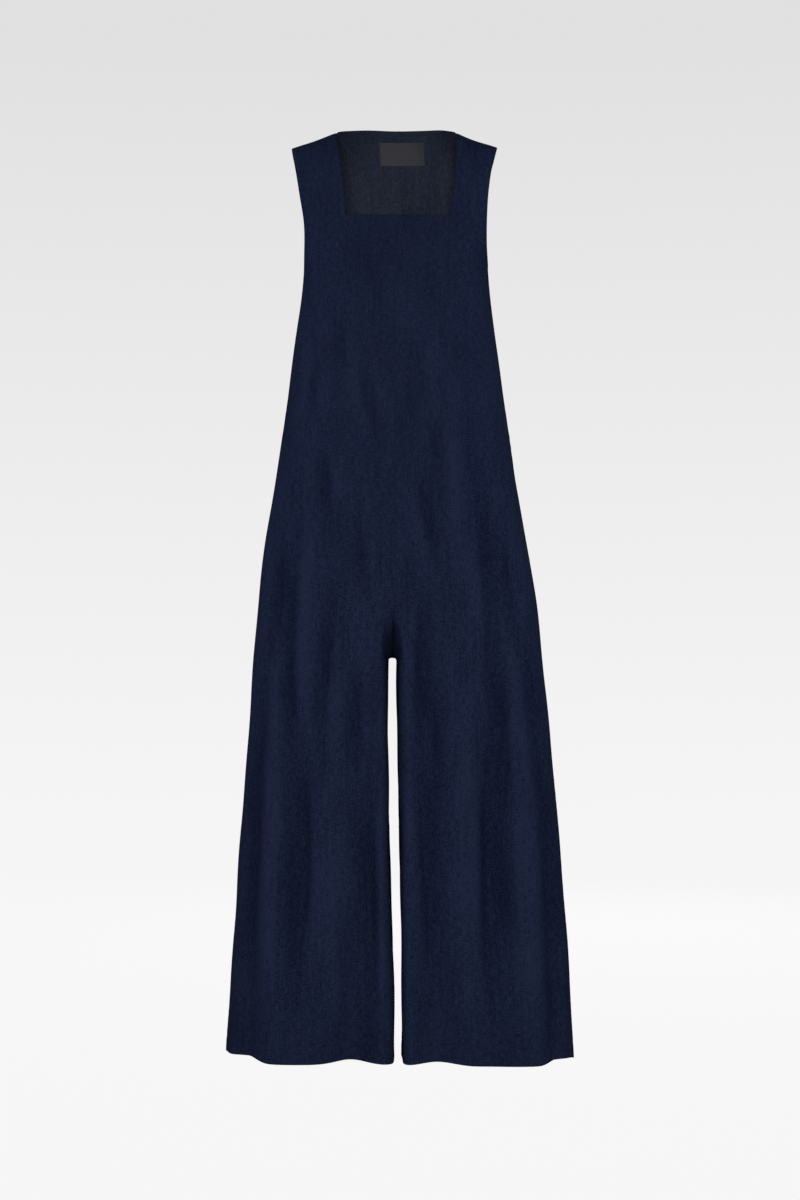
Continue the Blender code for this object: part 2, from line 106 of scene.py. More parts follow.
# Grid lines: (start, end, steps), and closer ones beside the edges
ROW_SPANS = (
    (0, ROW_NECK, 34),
    (ROW_NECK, ROW_UNDERARM, 18),
    (ROW_UNDERARM, ROW_FORK, 98),
    (ROW_FORK, ROW_CROTCH, 18),
    (ROW_CROTCH, ROW_SLOT, 8),
    (ROW_SLOT, ROW_TURN, 110),
    (ROW_TURN, ROW_HEM, 10),
)
ROWS_BESIDE = (
    0.05, 0.12, 7.012, 7.032, 7.06, 7.1, 37.996, 38.018, 38.05, 38.07, 38.09, 38.11, 38.13,
    38.92, 38.955, 38.98, 38.993,
)
COLUMN_SPANS = ((0, NECK_COLUMN, 35), (NECK_COLUMN, SIDE_COLUMN, 75))
COLUMNS_BESIDE = (0.03, 0.08, 0.14, 7.05, 7.11, 21.86, 21.92, 21.97)

# Facing: it rolls in from the neck's and armholes' edges
FACING_ROWS = ((0.11, ROW_NECK, 40), (ROW_NECK, ROW_FACING, 8))
FACING_ROWS_BESIDE = (0.13, 0.17, 7.94, 7.97, 7.99)
FACING_COLUMNS = ((0, NECK_COLUMN, 35), (NECK_COLUMN, 21.7, 60))
FACING_COLUMNS_BESIDE = (0.03, 0.08, 0.14, 21.5, 21.62, 21.67)

# Edges and seams
SEAM_ROLL = 0.0026      # cloth turns into a sewn seam over this width
EDGE_ROLL = 0.0016      # and round a folded edge over this one
CENTRE_FLAT = 0.25      # the centre seams are pressed to this share of the others' depth
PUCKER = 0.00022        # height of the small ripples along a seam
PUCKER_LENGTH = 0.019
PUCKER_REACH = 0.011
PUCKER_DRIFT = ((0.9, 31), (0.5, 77))  # the sines in their pace: ripples, and radians a metre
UNDERARM_BLEND = 0.5    # rows on each side of the underarm where the roll changes to a seam's
FACING_GAP = 0.0002
LABEL_GAP = 0.0003
STITCH_LINE = 0.0255    # hem edge to its row of stitches
STITCH_DIP = 0.0004
STITCH_DIP_WIDTH = 0.0008

LABEL_WIDTH = 0.0715
LABEL_HEIGHT = 0.0355
LABEL_X = 0.0040        # its middle lies this far to the left of the centre seam
LABEL_TOP = 0.0023      # drop of its upper edge
LABEL_CELLS = (72, 40)
LABEL_CROWDING = 0.10   # how much its grid lines draw together towards its edges
LABEL_FOLD = 0.0065     # the turned-under ends
LABEL_FOLD_RISE = 0.0004
LABEL_FOLD_STEP = 0.0012  # and the width over which they step down
LABEL_BULGE = 0.0005
LABEL_ROLL = 0.0006
LABEL_STITCH_INSET = 0.0022  # its stitches run this far in from each end
LABEL_STITCH_SIZE = 0.6      # of the hem's

# A stitch: a rod with round ends
ROD_SIDES = 8
ROD_RINGS = 6
ROD_TIP = 0.08          # the end rings' share of the half turn from end to end
ROD_ROUND = 0.6         # 1 is an ellipse, and less has blunter ends

RELIEF_REACH = 2.0      # columns over which a fold is told from the cloth around it
RELIEF_FULL = 0.0034    # full painted light on a ridge this high, full painted shade in a trough this deep

GRAIN = "grain"         # each piece's flat map, in metres across and down the grain
PAINTED_SHADE = "relief"       # painted light at 1 on a ridge, painted shade at -1 in a trough

# Streaks of the heathered cloth: how many yarns wide and long they are, the seed and detail of
# their noise, and how much of the tone they give
STREAKS = {
    "warp": (1, 14, 3.1, 2, 0.8),
    "weft": (14, 1, 7.7, 2, 0.8),
    "warp_slubs": (3, 12, 11.3, 2, 0.6),
    "weft_slubs": (11, 3, 5.9, 2, 0.6),
    "specks": (3, 3, 1.7, 1, 0.9),
    "mottle": (9, 14, 4.3, 1, 0.4),
    "bars": (4, 70, 9.9, 2, 0.3),
    "long_bars": (9, 130, 6.1, 2, 0.3),
}
NOISE_ROUGHNESS = 0.55  # weight of each finer layer of the noise
# These shares also tint the painted light on ridges and the painted shade in troughs.
UNDYED = (1.18, 1.08, 0.80)  # the pale yarns show more in red and green than in blue
CHEST_HEATHER = 0.86    # strength of the streaks above the waist
LEG_HEATHER = 1.24      # and on the legs
LEGS_GRAIN = 0.49       # down the grain to where they begin to grow stronger
LEGS_GRAIN_SPAN = 0.30  # and from there to where they are at their strongest
PATCH = (0.05, 0.11, 2.3, 3)  # width, length, seed and detail of the slow patches
PATCH_SHARE = 0.5
KNUCKLE_MEAN = 0.6      # mean height where two yarns cross
KNUCKLE_SHARE = 0.25
YARN_RELIEF = 0.6       # heights of single yarns and of slubs, as shares of a knuckle
SLUB_RELIEF = 0.8
SLUB_ROUGHNESS = 0.1
WEAVE_DEPTH = 0.12      # a knuckle's height in yarns
CLOTH_GLOSS = 0.06
CLOTH_SHEEN = 0.02
SHEEN_ROUGHNESS = 0.6
SHEEN_PALENESS = 12     # the sheen's colour is this many times as light as the cloth's
FACING_YARN = 0.8       # the facing's yarns and heather, as shares of the navy cloth's
FACING_CONTRAST = 1.1

# The label's satin and the thread
RIB = 0.00045           # distance between ribs
FLOAT = 0.0009          # and between the warp's floats
SATIN_STREAK = (0.006, 0.0006, 4.4)  # width, length and seed
SATIN_LINT = (0.0025, 0.0025, 8.8)
SATIN_CONTRAST = 0.22
RIB_MEAN = 0.6          # mean height of a rib
RIB_SHARE = 0.35        # how much of the tone ribs, streaks and lint give
STREAK_SHARE = 0.9
LINT_SHARE = 0.5
FLOAT_RELIEF = 0.4      # height of a float, as a share of a rib's
SATIN_RELIEF = 0.00006
SATIN_ROUGHNESS = 0.62
STREAK_ROUGHNESS = 0.15
LABEL_THREAD_ROUGHNESS = 0.6
HEM_THREAD_ROUGHNESS = 0.75
TWIST_ROUGHNESS = 0.2
THREAD_TWIST = 900      # changes of tone in each metre
THREAD_DARK = 0.7
THREAD_LIGHT = 1.4
THREAD_RELIEF = 0.00008
THREAD_GLOSS = 0.2

# The stage: its paper's tone and glow, a painted light that is darker high up than at the floor,
# how high that is, and the share of the lamps' light that it takes beside its own
PAPER_LOW = 0.96
PAPER_HIGH = 0.785
PAPER_RISE = 3.85
PAPER_MATTE = 0.02
BOWL_FLAT = 6.5         # radius of the flat floor
BOWL_BEND = 2.5         # radius of its turned-up rim
BOWL_WALL = 7.0         # height of the wall above the floor
BOWL_RINGS = (12, 24)   # on the floor and on the bend
BOWL_SIDES = 96
SENSOR = 36.0           # the camera's, in millimetres
FARTHEST = 60           # the camera sees nothing past this

# Softboxes: the stage's setting for their power, their place, the drop they are aimed at, their
# spread in degrees, their size, and whether the cloth mirrors them
SOFTBOXES = {
    "front_softbox": ("key", (0.05, -5.0, -0.45), HEM / 2, 180, 1.1, True),
    "back_softbox": ("back", (0.7, 4.8, 0.4), HEM / 2, 180, 1.6, False),
    "left_softbox": ("sides", (3.4, 0.1, -0.2), 0.5, 50, 1.2, False),
    "right_softbox": ("sides", (-3.4, 0.1, -0.2), 0.5, 50, 1.2, False),
}


def table(names, *rows):
    """Rows of numbers, with a name for each column."""
    return np.array(list(rows), dtype=[(name, float) for name in names.split()])


# Centre to the outer edge on each side, how far the centre seams lean to the left, and how far the
# legs are turned, as a shift to the left for each metre to the back
OUTLINE = table(
    "drop   lean    left    right   turn",
    (0.000, 0.0015, 0.1580, 0.1695, 0.0000),
    (0.024, 0.0025, 0.1540, 0.1668, 0.0000),
    (0.060, 0.0040, 0.1449, 0.1609, 0.0000),
    (0.100, 0.0045, 0.1393, 0.1539, 0.0000),
    (0.150, 0.0040, 0.1371, 0.1461, 0.0000),
    (0.216, 0.0030, 0.1390, 0.1465, 0.0000),
    (0.310, 0.0015, 0.1505, 0.1580, 0.0000),
    (0.420, 0.0002, 0.1663, 0.1722, 0.0000),
    (0.530, -0.0010, 0.1830, 0.1860, 0.0000),
    (0.630, -0.0025, 0.2030, 0.2015, 0.0000),
    (0.736, -0.0050, 0.2206, 0.2121, -0.0180),
    (0.8145, -0.0066, 0.2314, 0.2174, -0.0340),
    (0.980, -0.0064, 0.2480, 0.2285, -0.0340),
    (1.100, -0.0044, 0.2557, 0.2405, -0.0340),
    (1.240, -0.0005, 0.2652, 0.2538, -0.0340),
    (1.340, 0.0010, 0.2690, 0.2635, -0.0340),
    (1.438, 0.0016, 0.2724, 0.2713, -0.0340),
)

# Depth of the body from the line of the side seams, read against the square root of the drop.
# The corner says how square a section is: 2 is an ellipse, and more is squarer.
BODY = table(
    "drop  front   back    corner",
    (0.000, 0.0000, 0.0000, 2.3),
    (0.005, 0.0220, 0.0240, 2.3),
    (0.020, 0.0440, 0.0480, 2.3),
    (0.040, 0.0580, 0.0660, 2.3),
    (0.080, 0.0735, 0.0850, 2.5),
    (0.140, 0.0900, 0.0970, 3.1),
    (0.200, 0.1060, 0.1010, 3.8),
    (0.260, 0.1160, 0.1010, 3.7),
    (0.340, 0.1185, 0.0975, 3.2),
    (0.420, 0.1175, 0.0950, 2.8),
    (0.520, 0.1180, 0.1000, 2.7),
    (0.640, 0.1200, 0.1120, 2.8),
    (0.740, 0.1190, 0.1160, 2.9),
    (0.830, 0.1170, 0.1140, 2.9),
)

# Depth of each leg to the front and back, where its side seam hangs, its outer corner, and half of
# the slot between the legs
LEGS = table(
    "drop   front_left front_right back   seam_left seam_right corner slot",
    (0.6000, 0.1195, 0.1195, 0.1100, 0.0000, 0.0000, 2.7, 0.0080),
    (0.7000, 0.1190, 0.1190, 0.1140, 0.0000, 0.0000, 2.8, 0.0080),
    (0.8145, 0.1170, 0.1170, 0.1140, 0.0000, 0.0000, 2.9, 0.0080),
    (0.9500, 0.1140, 0.1120, 0.1110, -0.0020, 0.0060, 3.1, 0.0074),
    (1.1500, 0.1110, 0.1050, 0.1080, -0.0080, 0.0180, 3.3, 0.0077),
    (1.3000, 0.1090, 0.1020, 0.1060, -0.0120, 0.0280, 3.4, 0.0069),
    (1.4380, 0.1080, 0.1000, 0.1050, -0.0160, 0.0360, 3.4, 0.0067),
)

# Troughs that run down the legs: x is the distance from the centre at the start, middle and end,
# and inner and outer are the widths towards the inseam and the side seam
FOLDS = table(
    "side face start   end    x_start x_middle x_end  inner   outer  depth_middle depth_end",
    (-1, -1, 0.735, 1.438, 0.0430, 0.0484, 0.0734, 0.0320, 0.0340, 0.0040, 0.0250),
    (-1, -1, 0.530, 1.330, 0.1355, 0.1410, 0.1384, 0.0150, 0.0300, 0.0080, 0.0000),
    (-1, -1, 0.780, 1.438, 0.1978, 0.2181, 0.2320, 0.0180, 0.0500, 0.0160, 0.0340),
    (1, -1, 0.725, 1.438, 0.0405, 0.0436, 0.0606, 0.0320, 0.0360, 0.0040, 0.0220),
    (1, -1, 0.550, 1.340, 0.1187, 0.1330, 0.1386, 0.0150, 0.0300, 0.0080, 0.0000),
    (1, -1, 0.780, 1.438, 0.2024, 0.2325, 0.2405, 0.0150, 0.0600, 0.0120, 0.0280),
    (-1, 1, 0.760, 1.438, 0.0700, 0.0820, 0.0900, 0.0240, 0.0280, 0.0080, 0.0240),
    (-1, 1, 0.640, 1.400, 0.1500, 0.1560, 0.1620, 0.0180, 0.0280, 0.0080, 0.0050),
    (-1, 1, 0.820, 1.438, 0.1980, 0.2170, 0.2330, 0.0220, 0.0400, 0.0120, 0.0260),
    (1, 1, 0.800, 1.438, 0.0600, 0.0740, 0.0780, 0.0230, 0.0280, 0.0080, 0.0220),
    (1, 1, 0.620, 1.438, 0.1420, 0.1510, 0.1600, 0.0180, 0.0280, 0.0090, 0.0100),
    (1, 1, 0.860, 1.438, 0.2080, 0.2240, 0.2380, 0.0220, 0.0400, 0.0110, 0.0240),
)

# Softer creases, in the garment's own x, with their own widths towards -x (low) and +x (high): a
# narrow side is steep. A negative depth is a ridge. Each is deepest at `peak`, as a share of its
# length, and one whose end lies past the hem still shows there.
CREASES = table(
    "face start end    x_start  x_middle x_end    low     high    depth    peak",
    (-1, 0.360, 0.530, -0.0540, -0.0350, -0.0110, 0.0080, 0.0150, 0.0060, 0.35),
    (-1, 0.310, 0.440, -0.0720, -0.0640, -0.0520, 0.0120, 0.0120, -0.0030, 0.50),
    (-1, 0.395, 0.490, 0.0170, 0.0260, 0.0340, 0.0080, 0.0120, 0.0036, 0.40),
    (-1, 0.445, 0.545, 0.0550, 0.0610, 0.0660, 0.0080, 0.0120, 0.0036, 0.40),
    (-1, 0.280, 0.390, -0.0850, -0.0805, -0.0740, 0.0120, 0.0080, 0.0040, 0.45),
    (-1, 0.330, 0.475, -0.1140, -0.1230, -0.1300, 0.0120, 0.0070, 0.0050, 0.50),
    (-1, 0.480, 0.640, -0.1080, -0.1030, -0.0990, 0.0150, 0.0080, 0.0060, 0.40),
    (-1, 0.470, 0.610, -0.0880, -0.0860, -0.0850, 0.0100, 0.0100, -0.0024, 0.50),
    (-1, 0.370, 0.760, 0.0860, 0.0890, 0.0980, 0.0120, 0.0140, -0.0050, 0.40),
    (-1, 0.530, 0.710, 0.0360, 0.0520, 0.0690, 0.0090, 0.0150, 0.0056, 0.45),
    (-1, 0.550, 0.750, -0.0610, -0.0520, -0.0430, 0.0120, 0.0090, 0.0040, 0.60),
    (-1, 0.800, 1.020, -0.0560, -0.0600, -0.0620, 0.0200, 0.0080, 0.0060, 0.45),
    (-1, 0.690, 1.040, 0.0410, 0.0370, 0.0380, 0.0080, 0.0200, 0.0080, 0.40),
    (-1, 0.710, 1.040, -0.0940, -0.1080, -0.1120, 0.0180, 0.0080, 0.0080, 0.35),
    (-1, 0.960, 1.400, -0.0410, -0.0370, -0.0380, 0.0220, 0.0080, 0.0080, 0.45),
    (-1, 0.920, 1.360, 0.0390, 0.0470, 0.0610, 0.0080, 0.0220, 0.0090, 0.45),
    (-1, 0.800, 1.080, 0.0560, 0.0630, 0.0700, 0.0080, 0.0160, 0.0050, 0.45),
    (-1, 0.800, 1.080, 0.1520, 0.1610, 0.1670, 0.0080, 0.0180, 0.0050, 0.45),
    (-1, 0.520, 1.060, -0.1440, -0.1580, -0.1560, 0.0400, 0.0095, 0.0120, 0.45),
    (-1, 0.940, 1.400, -0.1370, -0.1400, -0.1560, 0.0450, 0.0090, 0.0120, 0.45),
    (-1, 0.440, 0.960, 0.1140, 0.1380, 0.1440, 0.0090, 0.0380, 0.0110, 0.50),
    (-1, 0.840, 1.420, 0.1420, 0.1400, 0.1440, 0.0090, 0.0450, 0.0130, 0.50),
    (-1, 0.700, 1.500, -0.1880, -0.2140, -0.2290, 0.0550, 0.0110, 0.0110, 0.50),
    (-1, 0.700, 1.500, 0.1880, 0.2285, 0.2430, 0.0100, 0.0600, 0.0110, 0.50),
    (-1, 0.700, 1.120, 0.1660, 0.1840, 0.2040, 0.0120, 0.0120, -0.0045, 0.45),
    (-1, 0.700, 1.120, -0.1700, -0.1850, -0.1900, 0.0120, 0.0120, -0.0040, 0.45),
    (-1, 0.820, 1.500, -0.0180, -0.0200, -0.0210, 0.0080, 0.0080, -0.0030, 0.55),
    (-1, 0.800, 1.500, 0.0190, 0.0200, 0.0250, 0.0080, 0.0080, -0.0030, 0.45),
    (-1, 0.960, 1.500, -0.0960, -0.0940, -0.0880, 0.0160, 0.0160, -0.0050, 0.55),
    (-1, 0.840, 1.500, 0.1020, 0.1100, 0.1160, 0.0180, 0.0160, -0.0050, 0.50),
    (-1, 0.860, 1.420, -0.1790, -0.1920, -0.1960, 0.0160, 0.0160, -0.0040, 0.50),
    (-1, 0.800, 1.440, 0.1700, 0.1980, 0.2000, 0.0160, 0.0160, -0.0040, 0.55),
    (-1, 0.730, 0.850, -0.0052, -0.0060, -0.0068, 0.0090, 0.0090, 0.0110, 0.60),
    (-1, 0.560, 0.880, -0.1720, -0.1800, -0.1900, 0.0160, 0.0090, 0.0060, 0.50),
    (-1, 0.600, 0.860, 0.1560, 0.1720, 0.1860, 0.0090, 0.0160, 0.0060, 0.45),
    (1, 0.290, 0.490, -0.0840, -0.0600, -0.0280, 0.0100, 0.0160, 0.0056, 0.40),
    (1, 0.330, 0.540, 0.0920, 0.0700, 0.0400, 0.0160, 0.0100, 0.0056, 0.50),
    (1, 0.420, 0.580, -0.1150, -0.1050, -0.0880, 0.0140, 0.0090, 0.0045, 0.50),
    (1, 0.450, 0.620, 0.1220, 0.1120, 0.1000, 0.0090, 0.0140, 0.0045, 0.40),
    (1, 0.690, 1.000, -0.0350, -0.0440, -0.0480, 0.0160, 0.0080, 0.0080, 0.40),
    (1, 0.700, 1.040, 0.0380, 0.0450, 0.0460, 0.0080, 0.0170, 0.0080, 0.45),
    (1, 0.720, 1.040, -0.1120, -0.1180, -0.1240, 0.0160, 0.0090, 0.0060, 0.45),
    (1, 0.760, 1.120, 0.1040, 0.1100, 0.1180, 0.0090, 0.0160, 0.0060, 0.50),
    (1, 0.940, 1.500, -0.0360, -0.0400, -0.0440, 0.0200, 0.0090, 0.0070, 0.55),
    (1, 0.980, 1.500, 0.0330, 0.0360, 0.0400, 0.0090, 0.0200, 0.0070, 0.50),
    (1, 0.560, 1.380, -0.1560, -0.1580, -0.1620, 0.0500, 0.0100, 0.0100, 0.50),
    (1, 0.540, 1.400, 0.1480, 0.1540, 0.1600, 0.0100, 0.0500, 0.0100, 0.45),
    (1, 0.880, 1.500, -0.1180, -0.1220, -0.1260, 0.0150, 0.0150, -0.0050, 0.50),
    (1, 0.900, 1.500, 0.1080, 0.1140, 0.1180, 0.0150, 0.0150, -0.0050, 0.55),
    (1, 0.840, 1.440, -0.1840, -0.1920, -0.2000, 0.0150, 0.0150, -0.0040, 0.55),
    (1, 0.820, 1.460, 0.1820, 0.1930, 0.2040, 0.0150, 0.0150, -0.0040, 0.50),
)

# The cloth's slow unevenness: waves in cycles per metre, with their heights
WAVES = table(
    "across deep  down   phase  height",
    (5.3, 3.1, 1.3, 0.13, 0.00090),
    (-8.1, 4.7, 2.1, 0.57, 0.00065),
    (11.7, 7.9, -1.9, 0.31, 0.00045),
    (-16.3, 12.1, 3.7, 0.83, 0.00028),
    (3.1, -6.3, 5.9, 0.71, 0.00045),
)


# ---------------------------------------------------------------------------------------------
# The garment's surface


def smooth(at, knots, values):
    """A cubic through a table's rows, each row's slope taken from its two neighbours."""
    at = np.clip(at, knots[0], knots[-1])
    slopes = np.gradient(values, knots)
    i = np.clip(np.searchsorted(knots, at, side="right") - 1, 0, len(knots) - 2)
    width = knots[i + 1] - knots[i]
    t = (at - knots[i]) / width
    rise = values[i] * (1 - t) ** 2 * (1 + 2 * t) + values[i + 1] * t**2 * (3 - 2 * t)
    return rise + width * t * (1 - t) * (slopes[i] * (1 - t) - slopes[i + 1] * t)


def read(rows, column, drop):
    """A column of a table at any drop."""
    return smooth(drop, rows["drop"], rows[column])


def between(value, start, end):
    """How far a value is on its way from the start to the end, from 0 to 1."""
    return np.clip((value - start) / (end - start), 0, 1)


def ease(value, start=0, end=1):
    """The same with level ends: t * t * (3 - 2 * t)."""
    t = between(value, start, end)
    return t * t * (3 - 2 * t)


def side_name(side):
    """left or right, as the wearer has them."""
    return "left" if side > 0 else "right"


def read_body(column, drop):
    """A column of BODY, read against the square root of the drop."""
    return smooth(np.sqrt(np.maximum(drop, 0)), np.sqrt(BODY["drop"]), BODY[column])


def body_depth(face, drop):
    """How deep the body is to the front or back."""
    return read_body("front" if face < 0 else "back", drop)


def side_seam(side, drop):
    """Where the side seam hangs, forward or back of the shoulders."""
    return read(LEGS, "seam_" + side_name(side), drop)


def arm_edge(side, face, drop):
    """Centre to the armhole's edge above the underarm, and to the side seam below it."""
    edge = read(OUTLINE, side_name(side), drop)
    if face > 0:
        edge = edge - BACK_ARM_INSET * np.sin(np.pi * between(drop, 0, UNDERARM))
    return edge


def arm_spread(side, face, drop):
    """Half width of the chest's curve, which the armhole cuts short: it closes in on the edge as
    h * h / (h * h + ARM_CLOSE * ARM_CLOSE) falls to nothing with the height h over the underarm."""
    height = np.maximum(UNDERARM - drop, 0)
    return arm_edge(side, face, drop) + ARM_SPREAD * height**2 / (height**2 + ARM_CLOSE**2)


def neck_column(side, drop):
    """Centre to the column that starts at the neck's corner and ends beside the fork."""
    top = NECK_TOP[side]
    corner = NECK_CORNER[side]
    above = top + (corner - top) * between(drop, 0, NECK_DROP)
    return above + (FORK_COLUMN - corner) * ease(drop, NECK_DROP, FORK)


def quarter(angle, corner):
    """A superellipse's quarter of half-axes 1, as distances across and deep at an angle from the
    front: (sin, cos) / (|sin| ** corner + |cos| ** corner) ** (1 / corner)."""
    across = np.sin(angle)
    deep = np.cos(angle)
    radius = (np.abs(across) ** corner + np.abs(deep) ** corner) ** (-1 / corner)
    return radius * across, radius * deep


def body_curve(side, face, drop):
    """Half sections of the body at each drop, from the centre seam to the armhole or side seam: a
    superellipse's quarter, as wide as the spread and as deep as the body, cut off at the edge."""
    edge = arm_edge(side, face, drop)
    spread = arm_spread(side, face, drop)
    corner = read_body("corner", drop)
    reach = np.minimum(edge / spread, 1)
    last = np.arctan2(reach, (1 - reach**corner) ** (1 / corner))
    across, deep = quarter(np.linspace(0, 1, CURVE_POINTS) * last[:, None], corner[:, None])
    x = spread[:, None] * across
    y = face * body_depth(face, drop)[:, None] * deep
    return np.stack([x, y], axis=2)


def slot_half(row, drop):
    """Centre to the inseam: nothing at the crotch, then a round top, then a long slot."""
    return read(LEGS, "slot", drop) * np.sin(np.pi / 2 * between(row, ROW_CROTCH, ROW_SLOT))


def leg_curve(side, face, row, drop):
    """Half rings of a leg at each drop, from the inseam round the front or back to the side seam:
    two superellipse quarters, squarer on the inner side. The inner one's corner stands away from
    the centre from the fork down, sooner than the inseam does."""
    corner_half = read(LEGS, "slot", drop) * ease(drop, FORK, CROTCH)
    outer = read(OUTLINE, side_name(side), drop)[:, None]
    column = "back" if face > 0 else "front_" + side_name(side)
    depth = face * read(LEGS, column, drop)[:, None]
    angle = np.linspace(-np.pi / 2, np.pi / 2, CURVE_POINTS)
    to_corner = ease(angle, -np.pi / 2, -np.pi / 4)
    at_seam = slot_half(row, drop)[:, None]
    inner = at_seam + (corner_half[:, None] - at_seam) * to_corner
    corner = np.where(angle < 0, LEG_INNER_CORNER, read(LEGS, "corner", drop)[:, None])
    across, deep = quarter(angle, corner)
    seam = np.where(angle < 0, INSEAM_Y, side_seam(side, drop)[:, None])
    x = outer / 2 + (outer / 2 - np.where(angle < 0, inner, 0)) * across
    y = seam + (depth - seam) * deep
    return np.stack([x, y], axis=2)


def running_length(points, axis):
    """Length along the grid's lines from their start: the sum of the steps between points."""
    step = np.linalg.norm(np.diff(points, axis=axis), axis=-1)
    start = np.zeros_like(np.take(step, [0], axis=axis))
    return np.cumsum(np.concatenate([start, step], axis=axis), axis=axis)


def length_share(curve):
    """Share of each curve's length at each of its points."""
    length = running_length(curve, 1)
    return length / length[:, -1:]


def column_place(column, middle, edge):
    """Where a column lies, with even steps from 0 to the neck column, which is at `middle`, and
    from there to the last one, which is at `edge`."""
    inside = between(column, 0, NECK_COLUMN)
    beyond = between(column, NECK_COLUMN, SIDE_COLUMN)
    return middle * inside + (edge - middle) * beyond


def read_rows(wanted, at, values):
    """Each row of `values`, known at that row's rising `at`, read at `wanted` by straight lines."""
    span = 1 + at.max() - at.min()
    shift = span * np.arange(len(at))[:, None]
    inside = np.clip(wanted, at[:, :1], at[:, -1:])
    found = np.interp((inside + shift).ravel(), (at + shift).ravel(), values.ravel())
    return found.reshape(inside.shape)


def pick(curve, share, wanted):
    """Points of each curve at the wanted shares of its length."""
    return np.stack([read_rows(wanted, share, curve[:, :, axis]) for axis in (0, 1)], axis=2)


def level(row):
    """Drop of the level rows, from the front neck down."""
    chest = np.sin(np.pi / 2 * between(row, ROW_NECK, ROW_UNDERARM))
    drop = NECK_DROP + (UNDERARM - NECK_DROP) * chest
    slot_top = CROTCH + SLOT_TOP * (1 - np.cos(np.pi / 2 * between(row, ROW_CROTCH, ROW_SLOT)))
    below = np.interp(
        row,
        [ROW_UNDERARM, ROW_FORK, ROW_CROTCH, ROW_SLOT, ROW_TURN, ROW_HEM],
        [UNDERARM, FORK, CROTCH, CROTCH + SLOT_TOP, HEM - HEM_TURN, HEM],
    )
    in_slot = (row > ROW_CROTCH) & (row < ROW_SLOT)
    return np.where(row < ROW_UNDERARM, drop, np.where(in_slot, slot_top, below))


def body_points(side, face, row, column):
    """The surface from the front neck to the hem, a row of points for each level.

    The points lie on the body's sections above the hip and on the leg's rings below the crotch, and
    move smoothly from one to the other in between. Next to the centre seam that starts only at the
    fork, and goes by 1 - cos(turn) while the seam falls by sin(turn), which curves it like a
    quarter of an ellipse in between the legs.
    """
    drop = level(row)
    turn = np.pi / 2 * between(row, ROW_FORK, ROW_CROTCH)[:, None]

    curve = body_curve(side, face, drop)
    share = length_share(curve)
    neck_x = neck_column(side, drop)[:, None]
    middle = read_rows(neck_x, curve[:, :, 0], share)
    by_length = column_place(column, middle, 1)
    x = column_place(column, neck_x, arm_edge(side, face, drop)[:, None])
    by_width = read_rows(x, curve[:, :, 0], share)
    even = ease(row, ROW_NECK, ROW_UNDERARM)[:, None]
    body = pick(curve, share, by_width + (by_length - by_width) * even)

    rings = leg_curve(side, face, row, drop)
    wanted = np.broadcast_to(column_place(column, INNER_SHARE, 1), (len(row), len(column)))
    leg = pick(rings, length_share(rings), wanted)

    outside = ease(column, FORK_INSIDE, FORK_OUTSIDE)[None, :]
    spreading = ease(drop, HIP, CROTCH)[:, None]
    later = 1 + FORK_FUNNEL * between(column, 0, NECK_COLUMN)
    weight = (1 - np.cos(turn)) ** later * (1 - outside) + spreading * outside
    flat = body + (leg - body) * weight[:, :, None]
    curved = (CROTCH - FORK) * (np.sin(turn) - turn / (np.pi / 2)) * (1 - outside)
    z = -(drop[:, None] + curved)
    return np.concatenate([flat, z[:, :, None]], axis=2)


def shoulder_points(side, face, row, column):
    """The surface above the front neck, where rows start at the sloping shoulder or the back neck.

    The cloth comes over the shoulder as the body's depth does, read by how far below its own fold
    each point lies; inside the neck points that fold lies above the cut edge.
    """
    sunk = (row / ROW_NECK) ** 2
    inside = between(column, 0, NECK_COLUMN)
    beyond = between(column, NECK_COLUMN, SIDE_COLUMN)
    top = SHOULDER_DROP * beyond - BACK_RISE * np.sqrt(1 - inside**3)
    drop = top * (1 - sunk) + NECK_DROP * sunk
    round_neck = (1 - inside**2) ** NECK_ROUND
    fold = BACK_NECK_PLACE * round_neck * (1 - sunk) ** 2 + NECK_DROP * sunk
    x = column_place(column, neck_column(side, drop), arm_edge(side, face, drop))
    reach = np.minimum(x / arm_spread(side, face, drop), 1)
    corner = read_body("corner", drop)
    y = face * body_depth(face, fold) * (1 - reach**corner) ** (1 / corner)
    return np.stack([x, y, -drop], axis=-1)


def crease_depth(face, x, drop):
    """How far the soft creases push the cloth in: a bell across each, square to its own line and
    with a width for each side, times a hump along it that rises to the peak and then dies away."""
    depth = np.zeros_like(x)
    for crease in CREASES[CREASES["face"] == face]:
        start, end = crease["start"], crease["end"]
        places = np.array([crease["x_start"], crease["x_middle"], crease["x_end"]])
        line = smooth(drop, np.array([start, (start + end) / 2, end]), places)
        slant = (places[2] - places[0]) / (end - start)
        across = (x - line) / np.sqrt(1 + slant**2)
        across = across / np.where(across < 0, crease["low"], crease["high"])
        share = between(drop, start, end)
        hump = np.minimum(share / crease["peak"], (1 - share) / (1 - crease["peak"]))
        depth += crease["depth"] * ease(hump) * np.exp(-(across**2))
    return depth


